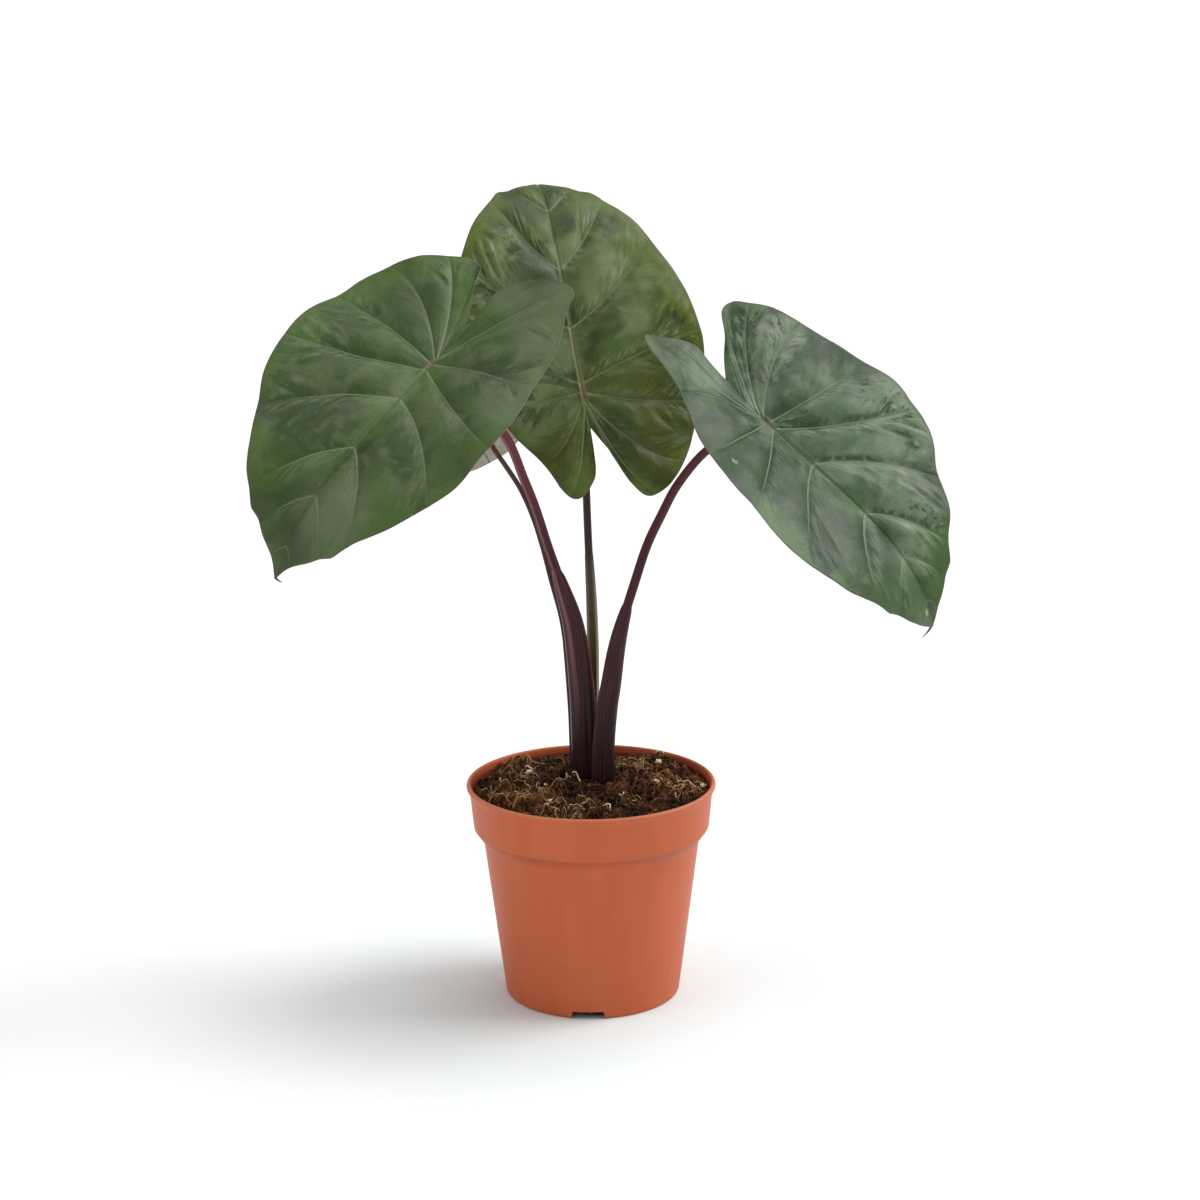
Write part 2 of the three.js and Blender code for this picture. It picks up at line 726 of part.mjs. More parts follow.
const plant = new THREE.Group();
plant.add(named('pot', makePot(), colours.pot, 0.6));
plant.add(named('soil', makeSoil(), colours.soil, 0.95));
plant.add(named('corm', makeCorm(), colours.corm, 0.85));
for (const name of Object.keys(blades)) {
  plant.add(named(`petiole_${name}`, makePetiole(petioles[name], blades[name]), colours.petiole, 0.4));
  plant.add(named(`blade_${name}`, makeBlade(blades[name]), colours[name], 0.45));
}

export default plant;
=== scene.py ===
import math

import bpy
import numpy as np
from mathutils import Matrix


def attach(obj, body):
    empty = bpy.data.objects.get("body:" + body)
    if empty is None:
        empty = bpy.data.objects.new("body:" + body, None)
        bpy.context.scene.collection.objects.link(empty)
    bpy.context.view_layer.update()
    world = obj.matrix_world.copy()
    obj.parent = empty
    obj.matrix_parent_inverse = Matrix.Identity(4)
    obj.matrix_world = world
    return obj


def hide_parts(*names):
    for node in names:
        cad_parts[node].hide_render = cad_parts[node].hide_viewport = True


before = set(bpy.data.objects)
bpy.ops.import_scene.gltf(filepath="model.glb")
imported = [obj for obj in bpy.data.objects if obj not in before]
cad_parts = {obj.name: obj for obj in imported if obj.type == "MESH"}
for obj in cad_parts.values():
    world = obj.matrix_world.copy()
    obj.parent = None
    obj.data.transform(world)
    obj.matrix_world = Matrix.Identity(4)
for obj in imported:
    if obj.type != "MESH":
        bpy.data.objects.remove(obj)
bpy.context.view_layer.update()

# A potted elephant-ear plant. All lengths below are in millimetres until makePiece scales them.
# X is to the right of the viewer, Y goes away from the viewer and Z is up from the pot's foot.
mm = 0.001
print("frame:", len(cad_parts), "nodes")


# shared shape formulas


def bump(distance, halfWidth):
    # a bell: 1 at no distance, 0.37 at halfWidth
    return np.exp(-((distance / halfWidth) ** 2))


def rise(value, start, end):
    # 0 before start and 1 after end, smooth in between
    share = np.clip((value - start) / (end - start), 0, 1)
    return share * share * (3 - 2 * share)


def hills(x, y, seed):
    # random heights from -1 to 1 at whole numbers, joined smoothly in between
    size = 64
    table = np.random.default_rng(seed).uniform(-1, 1, (size, size))
    i, j = np.floor(x).astype(int), np.floor(y).astype(int)
    fx, fy = rise(x - i, 0, 1), rise(y - j, 0, 1)
    i, j, nextI, nextJ = i % size, j % size, (i + 1) % size, (j + 1) % size
    near = table[i, j] * (1 - fx) + table[nextI, j] * fx
    far = table[i, nextJ] * (1 - fx) + table[nextI, nextJ] * fx
    return near * (1 - fy) + far * fy


def throughRows(rows, s):
    # a smooth curve through rows of numbers: whole values of s give the rows themselves
    rows = np.asarray(rows, float)
    rows = rows.reshape(len(rows), -1)
    padded = np.vstack([2 * rows[0] - rows[1], rows, 2 * rows[-1] - rows[-2]])
    i = np.clip(np.floor(s).astype(int), 0, len(rows) - 2)
    f = (s - i)[..., None]
    weights = (
        (-(f**3) + 2 * f**2 - f) / 2,
        (3 * f**3 - 5 * f**2 + 2) / 2,
        (-3 * f**3 + 4 * f**2 + f) / 2,
        (f**3 - f**2) / 2,
    )
    return sum(weight * padded[i + k] for k, weight in enumerate(weights))


def spanLengths(points):
    # from each point to the next
    return np.linalg.norm(np.diff(points, axis=0), axis=1)


def fullTurn(count):
    # even directions all the way round, in radians
    return np.linspace(0, 2 * np.pi, count, endpoint=False)


def smoothPath(points, count):
    # a centripetal curve through the points, cut at even steps of its length
    points = np.asarray(points, float)
    padded = np.vstack([2 * points[0] - points[1], points, 2 * points[-1] - points[-2]])
    gaps = np.sqrt(spanLengths(padded))[:, None]
    p0, p1, p2, p3 = padded[:-3], padded[1:-2], padded[2:-1], padded[3:]
    g0, g1, g2 = gaps[:-2], gaps[1:-1], gaps[2:]
    leave = ((p1 - p0) / g0 - (p2 - p0) / (g0 + g1) + (p2 - p1) / g1) * g1
    arrive = ((p2 - p1) / g1 - (p3 - p1) / (g1 + g2) + (p3 - p2) / g2) * g1
    cuts = 24  # of each span
    f = np.linspace(0, 1, cuts, endpoint=False)[None, :, None]
    p1, p2, leave, arrive = p1[:, None], p2[:, None], leave[:, None], arrive[:, None]
    dense = (2 * f**3 - 3 * f**2 + 1) * p1 + (f**3 - 2 * f**2 + f) * leave
    dense = dense + (3 * f**2 - 2 * f**3) * p2 + (f**3 - f**2) * arrive
    dense = np.vstack([dense.reshape(-1, 3), points[-1]])
    lengths = np.concatenate([[0], np.cumsum(spanLengths(dense))])
    wanted = np.linspace(0, lengths[-1], count)
    return np.stack([np.interp(wanted, lengths, dense[:, k]) for k in range(3)], -1)


def unit(vectors):
    return vectors / np.linalg.norm(vectors, axis=-1, keepdims=True)


def tubeRings(paths, radii, sides, away):
    # round rings along each path, square to it, with a radius for each of its points; the first
    # point of a ring lies square to the direction away
    forward = unit(np.gradient(paths, axis=-2))
    beside = unit(np.cross(forward, away))
    above = np.cross(beside, forward)
    turn = fullTurn(sides)[:, None]
    circle = np.cos(turn) * beside[..., None, :] + np.sin(turn) * above[..., None, :]
    return paths[..., None, :] + radii[..., None, None] * circle


# turning grids of points into meshes


def shellFaces(shells, rings, sides):
    # neighbouring rings are joined by four-sided faces, and a fan closes each end of a shell
    ring, side = np.meshgrid(np.arange(rings - 1), np.arange(sides), indexing="ij")
    here, following = ring * sides + side, ring * sides + (side + 1) % sides
    quads = np.stack([here, following, following + sides, here + sides], -1).reshape(-1, 4)
    around = np.arange(sides)
    turned = (around + 1) % sides
    foot, head = np.full(sides, rings * sides), np.full(sides, rings * sides + 1)
    top = (rings - 1) * sides
    fans = np.vstack([
        np.stack([foot, turned, around], -1),
        np.stack([head, top + around, top + turned], -1),
    ])
    offsets = np.arange(shells)[:, None, None] * (rings * sides + 2)
    return (quads[None] + offsets).reshape(-1, 4), (fans[None] + offsets).reshape(-1, 3)


def withEnds(grid):
    # the values of every ring, then the mean of the first and of the last ring for the fans
    flat = grid.reshape(len(grid), -1, *grid.shape[3:])
    return np.concatenate([flat, grid[:, :1].mean(2), grid[:, -1:].mean(2)], 1)


def insideOut(points, fans, quads):
    # the signed volume of all the faces is negative when they point inwards
    a, b, c, d = (points[quads[:, k]] for k in range(4))
    e, f, g = (points[fans[:, k]] for k in range(3))
    volume = np.einsum("ij,ij->", a, np.cross(b, c)) + np.einsum("ij,ij->", a, np.cross(c, d))
    return volume + np.einsum("ij,ij->", e, np.cross(f, g)) < 0


def addObject(name, data):
    made = bpy.data.objects.new(name, data)
    bpy.context.scene.collection.objects.link(made)
    return made


def smoothMesh(name, points, faces):
    mesh = bpy.data.meshes.new(name)
    mesh.from_pydata(points.tolist(), [], faces)
    mesh.shade_smooth()
    return mesh


def makePiece(name, grid, values=None):
    # grid holds shells x rings x sides points in millimetres, and values one number for each point
    quads, fans = shellFaces(*grid.shape[:3])
    points = withEnds(grid).reshape(-1, 3) * mm
    if insideOut(points, fans, quads):
        quads, fans = quads[:, ::-1], fans[:, ::-1]
    mesh = smoothMesh(name, points, quads.tolist() + fans.tolist())
    for key, value in (values or {}).items():
        attribute = mesh.attributes.new(key, "FLOAT", "POINT")
        attribute.data.foreach_set("value", withEnds(value).astype(np.float32).ravel())
    return addObject(name, mesh)


def finishPiece(piece, material, slot, *nodes):
    piece.data.materials.append(material)
    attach(piece, "root")
    if nodes:
        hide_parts(*nodes)
    triangles = sum(len(face.vertices) - 2 for face in piece.data.polygons)
    print(f"{piece.name}: {triangles} triangles")


# writing materials as expressions


class Field:
    # a value or colour that varies over a surface: one socket in a material's nodes
    def __init__(self, paint, socket):
        self.paint = paint
        self.socket = socket

    def combine(self, operation, first, second=0.0):
        return self.paint.node("ShaderNodeMath", {"operation": operation}, {0: first, 1: second})

    def __add__(self, other):
        return self.combine("ADD", self, other)

    def __radd__(self, other):
        return self.combine("ADD", other, self)

    def __sub__(self, other):
        return self.combine("SUBTRACT", self, other)

    def __rsub__(self, other):
        return self.combine("SUBTRACT", other, self)

    def __mul__(self, other):
        return self.combine("MULTIPLY", self, other)

    def __rmul__(self, other):
        return self.combine("MULTIPLY", other, self)

    def __truediv__(self, other):
        return self.combine("DIVIDE", self, other)

    def __abs__(self):
        return self.combine("ABSOLUTE", self)


class Paint:
    # one material: a principled shader whose sockets are filled by fields or plain values
    def __init__(self, name):
        self.material = bpy.data.materials.new(name)
        self.material.use_nodes = True
        self.tree = self.material.node_tree
        self.shader = self.tree.nodes["Principled BSDF"]

    def put(self, socket, value):
        if isinstance(value, Field):
            self.tree.links.new(value.socket, socket)
        elif isinstance(value, tuple) and len(value) == 3 and socket.type == "RGBA":
            socket.default_value = (*value, 1)
        else:
            socket.default_value = value

    def node(self, kind, settings, values, output=0):
        made = self.tree.nodes.new(kind)
        for key, setting in settings.items():
            setattr(made, key, setting)
        for key, value in values.items():
            self.put(made.inputs[key], value)
        return Field(self, made.outputs[output])

    def set(self, sockets):
        for key, value in sockets.items():
            self.put(self.shader.inputs[key], value)
        return self.material

    def attribute(self, name):
        return self.node("ShaderNodeAttribute", {"attribute_name": name}, {}, "Fac")

    def place(self):
        return self.node("ShaderNodeTexCoord", {}, {}, "Object")

    def vector(self, x, y, z=0.0):
        return self.node("ShaderNodeCombineXYZ", {}, {0: x, 1: y, 2: z})

    def stretch(self, vector, factors):
        return self.node("ShaderNodeVectorMath", {"operation": "MULTIPLY"}, {0: vector, 1: factors})

    def clouds(self, vector, scale, detail=2.0, roughness=0.5, distortion=0.0):
        values = {"Vector": vector, "Scale": scale, "Detail": detail}
        values.update({"Roughness": roughness, "Distortion": distortion})
        return self.node("ShaderNodeTexNoise", {}, values, "Fac")

    def cells(self, vector, scale, feature="F1"):
        values = {"Vector": vector, "Scale": scale}
        return self.node("ShaderNodeTexVoronoi", {"feature": feature}, values, "Distance")

    def ramp(self, value, start, end):
        values = {"Value": value, "From Min": start, "From Max": end, "To Min": 0.0, "To Max": 1.0}
        if start > end:
            values.update({"From Min": end, "From Max": start, "To Min": 1.0, "To Max": 0.0})
        return self.node("ShaderNodeMapRange", {"interpolation_type": "SMOOTHSTEP"}, values)

    def blend(self, share, first, second):
        made = self.tree.nodes.new("ShaderNodeMix")
        made.data_type = "RGBA"
        sockets = [s for s in made.inputs if s.enabled]
        for socket, value in zip(sockets, (share, first, second)):
            self.put(socket, value)
        return Field(self, next(s for s in made.outputs if s.enabled))

    def over(self, colour, *coats):
        # a coat is the share that it covers and its tone, from 0 to 255
        for share, tone in coats:
            colour = self.blend(share, colour, tint(*tone))
        return colour

    def reach(self, vector):
        return self.node("ShaderNodeVectorMath", {"operation": "LENGTH"}, {0: vector}, "Value")

    def relief(self, height, distance, strength=1.0):
        values = {"Height": height, "Distance": distance, "Strength": strength}
        return self.node("ShaderNodeBump", {}, values)


def tint(red, green, blue):
    # a colour as it is seen on a screen, from 0 to 255, turned into light
    def light(value):
        value = value / 255
        return value / 12.92 if value <= 0.04045 else ((value + 0.055) / 1.055) ** 2.4
    return (light(red), light(green), light(blue))


# the pot

pot = {
    "rimRadius": 60,
    "height": 105.7,
    "lipHeight": 3.4,
    "bandTopRadius": 58.4,
    "bandFootRadius": 56.7,
    "bandFoot": 84,
    "wallTopRadius": 52,
    "stepFoot": 77.5,
    "footRadius": 42.2,
    "wall": 1.3,
    "floor": 1.4,
    "middle": 6,  # the radius inside which a fan closes the floor, above and below
    "sides": 240,
    "cornerRadius": 0.9,
    "lipCornerRadius": 2.2,
    "cornerSteps": 5,
    "sharpAngle": 32,  # degrees
    "darkFrom": 94,  # the height where the soil's shade starts on the inner wall
    "body": (187, 88, 45),
    "light": (194, 96, 52),
    "dark": (178, 81, 40),
    # the painted shade on the inner wall above the soil and on the step under the band
    "inside": (118, 50, 28),
    "scuff": (220, 144, 104),
    # the painted highlight along the lip's outer edge
    "rimHighlight": (226, 150, 110),
}

channel = {
    "count": 3,
    "firstAngle": -93,  # degrees from +X
    "start": 13,
    "halfWidth": 7.4,
    "footHalfWidth": 8.4,
    "height": 3.7,
    "roof": 1.3,
    "holeRadius": 3.5,
    "holeAt": 27,
    "holeSides": 32,
    "holeSpan": (-2.0, 10.0),  # from below the floor to above the roof
}


def potInside():
    return [
        [pot["bandTopRadius"] - pot["wall"], pot["height"] - pot["lipHeight"] - 1],
        [pot["bandFootRadius"] - pot["wall"], pot["bandFoot"] + 0.8],
        [pot["wallTopRadius"] - pot["wall"], pot["stepFoot"] + 0.8],
        [pot["footRadius"] - pot["wall"] + 0.2, pot["floor"]],
    ]


def potOutline():
    lipFoot = pot["height"] - pot["lipHeight"]
    return [
        [pot["middle"], 0],
        [pot["footRadius"] - 0.8, 0],
        [pot["footRadius"], 0.8],
        [pot["wallTopRadius"], pot["stepFoot"]],
        [pot["bandFootRadius"] - 0.5, pot["bandFoot"] - 0.7],
        [pot["bandFootRadius"], pot["bandFoot"]],
        [pot["bandTopRadius"], lipFoot - 0.4],
        [pot["rimRadius"] - 0.3, lipFoot + 1],
        [pot["rimRadius"], lipFoot + 1.9],
        [pot["rimRadius"] - 0.3, pot["height"] - 0.6],
        [pot["rimRadius"] - 1.2, pot["height"]],
        [pot["rimRadius"] - 2.3, pot["height"] - 0.5],
        *potInside(),
        [pot["middle"], pot["floor"]],
    ]


def softCorners(points, steps):
    # each corner becomes a short curve that starts and ends at most radius away from it
    points = np.asarray(points, float)
    onLip = points[1:-1, 1] > pot["height"] - pot["lipHeight"] - 0.5
    radii = np.where(onLip, pot["lipCornerRadius"], pot["cornerRadius"])
    f = np.linspace(0, 1, steps)[:, None]
    rows = [points[:1]]
    for before, corner, after, radius in zip(points[:-2], points[1:-1], points[2:], radii):
        start, end = (
            corner + (other - corner) * min(radius / np.linalg.norm(other - corner), 0.45)
            for other in (before, after)
        )
        rows.append((1 - f) ** 2 * start + 2 * f * (1 - f) * corner + f**2 * end)
    return np.vstack([*rows, points[-1:]])


def turnedRings(outline, sides):
    # every [radius, height] of the outline becomes a level circle
    angle = fullTurn(sides)[None]
    radius, height = outline[:, :1], outline[:, 1:]
    return np.stack([radius * np.sin(angle), -radius * np.cos(angle), height + 0 * angle], -1)


def channelTurns():
    # the direction of each channel, in radians
    first, count = channel["firstAngle"], channel["count"]
    return [math.radians(first + k * 360 / count) for k in range(count)]


def channelBars(start, end, foot, top, bottom, height):
    # a bar along +X, wider at its foot, turned to each channel's angle: a ring of four corners
    y, z = np.array([[-foot, bottom], [foot, bottom], [top, height], [-top, height]], float).T
    bars = []
    for turn in channelTurns():
        cos, sin = math.cos(turn), math.sin(turn)
        bars.append([np.stack([x * cos - y * sin, x * sin + y * cos, z], -1) for x in (start, end)])
    return np.array(bars)


def drainHoles():
    # an upright round bar through the roof of each channel
    angle = fullTurn(channel["holeSides"])
    bars = []
    for turn in channelTurns():
        x = channel["holeAt"] * math.cos(turn) + channel["holeRadius"] * np.cos(angle)
        y = channel["holeAt"] * math.sin(turn) + channel["holeRadius"] * np.sin(angle)
        bars.append([np.stack([x, y, z + 0 * angle], -1) for z in channel["holeSpan"]])
    return np.array(bars)


def carve(piece, steps):
    # adds or cuts away each shape in turn, then keeps the result as the piece's own mesh
    cutters = []
    for number, (operation, grid) in enumerate(steps):
        cutter = makePiece(f"cutter{number}", grid)
        modifier = piece.modifiers.new(cutter.name, "BOOLEAN")
        modifier.operation = operation
        modifier.solver = "EXACT"
        modifier.object = cutter
        cutters.append(cutter)
    shaped = piece.evaluated_get(bpy.context.evaluated_depsgraph_get())
    mesh = bpy.data.meshes.new_from_object(shaped)
    piece.modifiers.clear()
    piece.data = mesh
    for cutter in cutters:
        bpy.data.objects.remove(cutter)


def potShade(paint, place, colour):
    # the inner wall above the soil and the step under the band get painted shade, and the lip gets a
    # painted highlight along its outer edge
    height = paint.node("ShaderNodeSeparateXYZ", {}, {0: place}, "Z")
    radius = paint.reach(paint.stretch(place, (1.0, 1.0, 0.0)))
    hollowRadius, shadeFoot = (pot["bandTopRadius"] - pot["wall"]) * mm, pot["darkFrom"] * mm
    # painted shade on the inner wall above the soil
    inside = paint.ramp(radius, hollowRadius + 0.3 * mm, hollowRadius)
    # painted shade on the step under the band
    stepFoot, stepHead = (pot["stepFoot"] - 1) * mm, (pot["bandFoot"] - 0.6) * mm
    step = paint.ramp(height, stepFoot, stepHead) * paint.ramp(height, stepHead + 0.5 * mm, stepHead)
    rimRadius, rimHeight = pot["rimRadius"] * mm, pot["height"] * mm
    # a painted highlight along the lip's outer edge
    rimHighlight = paint.ramp(radius, rimRadius - 2.2 * mm, rimRadius - mm)
    rimHighlight = rimHighlight * paint.ramp(height, rimHeight - 1.6 * mm, rimHeight - 0.5 * mm)
    return paint.over(
        colour,
        (0.9 * inside * paint.ramp(height, shadeFoot, shadeFoot + mm), pot["inside"]),
        (0.4 * step, pot["inside"]),
        (0.4 * rimHighlight, pot["rimHighlight"]),
    )


def potMaterial():
    paint = Paint("potPlastic")
    place = paint.place()
    streaks = paint.clouds(paint.stretch(place, (90.0, 90.0, 14.0)), 1.0, 3.0)
    blotches = paint.clouds(place, 28.0, 3.0, 0.6)
    grain = paint.clouds(place, 900.0, 2.0)
    scuffs = paint.ramp(paint.clouds(paint.stretch(place, (60.0, 60.0, 400.0)), 1.0, 4.0), 0.66, 0.78)
    colour = paint.over(
        tint(*pot["body"]),
        (0.5 * paint.ramp(streaks, 0.35, 0.7), pot["light"]),
        (0.3 * paint.ramp(blotches, 0.45, 0.75), pot["dark"]),
        (0.12 * scuffs, pot["scuff"]),
    )
    return paint.set({
        "Base Color": potShade(paint, place, colour),
        "Roughness": 0.44 + 0.12 * blotches + 0.1 * scuffs,
        "Normal": paint.relief(grain + streaks, 0.00005, 0.4),
        "Specular IOR Level": 0.4,
    })


def makePot():
    rings = turnedRings(softCorners(potOutline(), pot["cornerSteps"]), pot["sides"])
    piece = makePiece("potShell", rings[None])
    wide, foot, high = channel["halfWidth"], channel["footHalfWidth"], channel["height"]
    roof, start = channel["roof"], channel["start"]
    wallEnd = pot["footRadius"] - pot["wall"] / 2
    ridges = channelBars(start - roof, wallEnd, foot + roof, wide + roof, pot["floor"] / 2, high + roof)
    hollows = channelBars(start, pot["footRadius"] + 2, foot, wide, -1, high)
    carve(piece, [("UNION", ridges), ("DIFFERENCE", hollows), ("DIFFERENCE", drainHoles())])
    piece.data.shade_smooth()
    piece.data.set_sharp_from_angle(angle=math.radians(pot["sharpAngle"]))
    finishPiece(piece, potMaterial(), "pot_plastic", "pot")


makePot()


# the leaf blades

# The left leaf and the small one have the same greens.
darkGreens = {
    "deep": (44, 66, 27),
    "body": (68, 92, 44),
    "grey": (84, 98, 64),
    "fresh": (70, 100, 26),
    "olive": (62, 86, 26),
    "vein": (112, 134, 94),
    # the painted sheen on patches, pleats and ridges
    "pale": (104, 118, 88),
}

# A blade hangs from its junction with the stalk. Outline points are [out from the midrib, along it
# towards the tip], and the last is the notch. A rib ends at each point and starts on the midrib at
# the matching number of roots. Angles are in degrees; lobeRise, curl and twist are for 100 mm. The
# tail is a thread at the tip. Folds are how strong they are on the right half and on the left one,
# detail is the share of the grid's rows that the blade gets, and yellowing brings fresh green to the
# margin. Patches are soft spots of another colour: pale ones are painted sheen, deep ones are partly
# darker green and partly painted shade, and olive and fresh ones are the blade's own colour. Marks
# are small scars. Both are given as [across, along, size] on the flat blade.
leaves = {
    "left": {
        "junction": (-71, -17, 311),
        "azimuth": -136,
        "droop": 33,
        "roll": 15,
        "tipDroop": 53,
        "lobeRise": 22,
        "fold": 10,
        "curl": 3,
        "twist": 10,
        "bow": 3,
        "roots": [128, 112, 86, 57, 24, 4, 0, -2, -4, -6, -11, -26],
        "right": [[0, 128], [5, 118], [16, 107], [28, 96], [51, 63], [67, 24], [65, -11], [54, -39],
                  [32, -57], [15, -59], [8, -44], [0, -26]],
        "left": [[0, 128], [6, 120], [18, 112], [31, 102], [54, 70], [64, 36], [61, -3], [53, -43],
                 [46, -58], [21, -59], [5, -47], [0, -26]],
        "tail": [[0, 0, 1], [0.6, 0, 0], [1.8, 0, -1], [3.2, 0, -1.6]],
        "folds": [0.7, 0.6],
        "detail": 1,
        "seed": 11,
        "yellowing": 0.16,
        **darkGreens,
        "midrib": (92, 116, 68),
        "patches": {
            "pale": [[-12, -48, 16], [-42, -44, 30], [-53, -19, 16], [-58, 8, 24], [-14, 90, 26],
                     [2, 22, 14]],
            "deep": [[28, -24, 22], [38, 18, 20], [50, 2, 16], [42, 46, 16], [22, 60, 12], [-4, 116, 14],
                     [2, -7, 12]],
            "olive": [[30, 92, 16], [56, 52, 14], [-36, 84, 16], [-58, 38, 10]],
        },
        "marks": [[-50, 78, 1.2]],
    },
    "right": {
        "junction": (82.5, -17, 282.5),
        "azimuth": 120,
        "droop": 37,
        "roll": -21,
        "tipDroop": 69,
        "lobeRise": 40,
        "fold": 14,
        "curl": 2,
        "twist": -7,
        "bow": -6,
        "roots": [128, 112, 88, 62, 29, 4, 0, -2, -4, -7, -16, -28],
        "right": [[0, 128], [10, 120], [22, 109], [34, 97], [51, 68], [57, 34], [50, 1], [38, -33],
                  [39, -64], [22, -60], [4, -46], [0, -28]],
        "left": [[0, 128], [5, 117], [13, 106], [23, 94], [41, 70], [58, 41], [61, 7], [51, -30],
                 [36, -52], [22, -57], [12, -44], [0, -28]],
        "tail": [[0.4, 0, 1.2], [-0.9, 0, -1.2], [-2.4, 0, -3.2], [-4.2, 0, -5.2]],
        "folds": [0.4, 1.2],
        "detail": 1,
        "seed": 23,
        "yellowing": 0.16,
        "deep": (36, 62, 30),
        "body": (75, 101, 69),
        "grey": (98, 112, 90),
        "fresh": (72, 104, 44),
        "olive": (50, 80, 28),
        "vein": (112, 134, 98),
        "midrib": (98, 122, 84),
        # the painted sheen on patches, pleats and ridges
        "pale": (124, 140, 116),
        "patches": {
            "pale": [[-50, 24, 22], [-46, 46, 22], [-26, 50, 18], [-20, 70, 18], [12, -38, 18],
                     [-36, -30, 17], [-8, -12, 10], [-8, 38, 12], [-2, 88, 12]],
            "deep": [[38, -10, 32], [34, 18, 32], [26, 48, 30], [20, 76, 28], [28, 100, 26],
                     [-14, 13, 12], [4, 116, 22]],
            "olive": [[30, 98, 20], [12, 114, 24], [-14, 106, 18], [-46, 2, 10]],
        },
        "marks": [[43, 10, 1.4], [-44, 52, 1], [-51, 33, 1.3], [3, 117, 1.6]],
    },
    "back": {
        "junction": (-2, 26, 289),
        "azimuth": -37,
        "droop": -71,
        "roll": 23,
        "tipDroop": 109,
        "lobeRise": 17,
        "fold": 0,
        "curl": 8,
        "twist": -6,
        "bow": 5,
        "roots": [138, 120, 93, 61, 32, 5, 1, -1, -3, -6, -10, -16],
        "right": [[0, 138], [6, 126], [16, 113], [29, 97], [49, 71], [64, 22], [55, -12], [41, -40],
                  [23, -54], [13, -45], [6, -28], [0, -16]],
        "left": [[0, 138], [6, 126], [16, 114], [27, 104], [48, 74], [63, 34], [44, 0], [26, -29],
                 [16, -48], [4, -41], [1, -27], [0, -16]],
        "tail": [[0, 1, 1], [0.3, -0.5, -1.5], [0.8, -1, -4]],
        "folds": [1, 1],
        "detail": 1,
        "seed": 37,
        "slot": "leaf_olive",
        "yellowing": 0.3,
        "deep": (40, 57, 16),
        "body": (69, 92, 38),
        "grey": (84, 104, 52),
        "fresh": (82, 98, 16),
        "olive": (72, 78, 12),
        "vein": (112, 126, 84),
        "midrib": (126, 128, 92),
        # the painted sheen on patches, pleats and ridges
        "pale": (116, 133, 90),
        "patches": {
            "pale": [[-32, 58, 20], [-26, 76, 10], [4, 68, 12], [17, 50, 18], [32, 32, 12],
                     [-5, 22, 15], [-26, -4, 18], [-46, 45, 12]],
            "deep": [[24, 84, 14], [-10, 92, 16], [14, -14, 14], [-34, -30, 12], [-15, -24, 14],
                     [20, -30, 16]],
            "olive": [[9, 3, 16], [26, 0, 18], [38, -16, 20], [32, -34, 24], [-14, -24, 18],
                      [12, 38, 8]],
            "fresh": [[60, 30, 20], [58, 8, 14], [-44, 84, 14], [-48, 24, 12], [40, -38, 10]],
        },
        "marks": [],
    },
    "small": {
        "junction": (-50, 42, 272),
        "azimuth": -56,
        "droop": 40,
        "roll": -22,
        "tipDroop": 40,
        "lobeRise": 17,
        "fold": 8,
        "curl": 3,
        "twist": 0,
        "bow": 0,
        "roots": [62, 53, 41, 27, 13, 3, 1, -1, -2, -4, -6, -9],
        "right": [[0, 62], [4, 56], [10, 50], [18, 42], [28, 29], [35, 10], [32, -7], [25, -18],
                  [16, -22], [8, -21], [3, -15], [0, -9]],
        "left": [[0, 62], [4, 56], [9, 50], [16, 42], [26, 29], [32, 10], [30, -7], [23, -18],
                 [15, -22], [8, -21], [3, -15], [0, -9]],
        "tail": [[0, 0, 1], [-0.6, 0.4, -1], [-1, 0.8, -3]],
        "folds": [0.8, 0.8],
        "detail": 0.5,
        "seed": 53,
        "yellowing": 0.16,
        **darkGreens,
        "midrib": (86, 112, 62),
        "patches": {},
        "marks": [],
    },
}

# What all the blades share: the sheet, its ribs, the ripples between them and a few colours.
blade = {
    "rows": 276,  # stations from the tip to the notch
    "columns": 72,  # from the midrib to the margin
    "ribArch": [-0.5, -0.5, -0.5, -0.5, -0.45, 0.3, 0.7, 0.8, 0.5, 0.1, 0, 0],
    "ribShow": [0, 0.4, 0.7, 1, 1, 1, 1, 0.6, 1, 0.3, 0, 0],  # how clearly each rib is seen
    "thickness": 0.8,
    "thinMargin": 0.35,  # how much thinner the margin is
    "midribHeight": 2.2,
    "midribHalfWidth": 2,
    "ribHeight": 0.8,
    "ribHalfWidth": 1.1,
    "quilting": 2.5,
    "wave": 1.5,
    "wavePitch": 2.3,
    "foldWidth": 3.4,  # of the short folds between the ribs
    "foldLength": 12,
    "foldLean": 0.65,  # in radians, away from the rib
    "foldHeight": 0.95,
    "pleatWidth": 1.5,  # of the fine pleats that the folds carry
    "pleatLength": 5.5,
    "foldPatch": 26,  # the size of the areas where the folds are strong or weak
    "ridgeHeight": 0.4,  # of the ridge beside each rib, and the depth of the furrow there
    "ridgeAt": 3.2,
    "ridgeHalfWidth": 2.4,
    "furrowAt": 1.7,
    "furrowHalfWidth": 1.3,
    "smoothLobes": 0.7,  # how much weaker the ridges and furrows are behind the junction
    "pucker": 0.6,
    "puckerSizes": [15, 6],
    "grooveDepth": 0.35,
    "scallop": 0.5,
    "ragged": 0.9,
    "raggedPitch": 17,
    "junctionTone": (104, 74, 62),
    "dust": (150, 162, 136),
    "scar": (150, 160, 112),
    "margin": (84, 70, 60),
    "below": (166, 156, 148),
    "belowStripe": (138, 138, 122),
    "belowFold": (118, 108, 104),
    "belowRib": (92, 62, 72),
    "belowMidrib": (80, 48, 58),
}


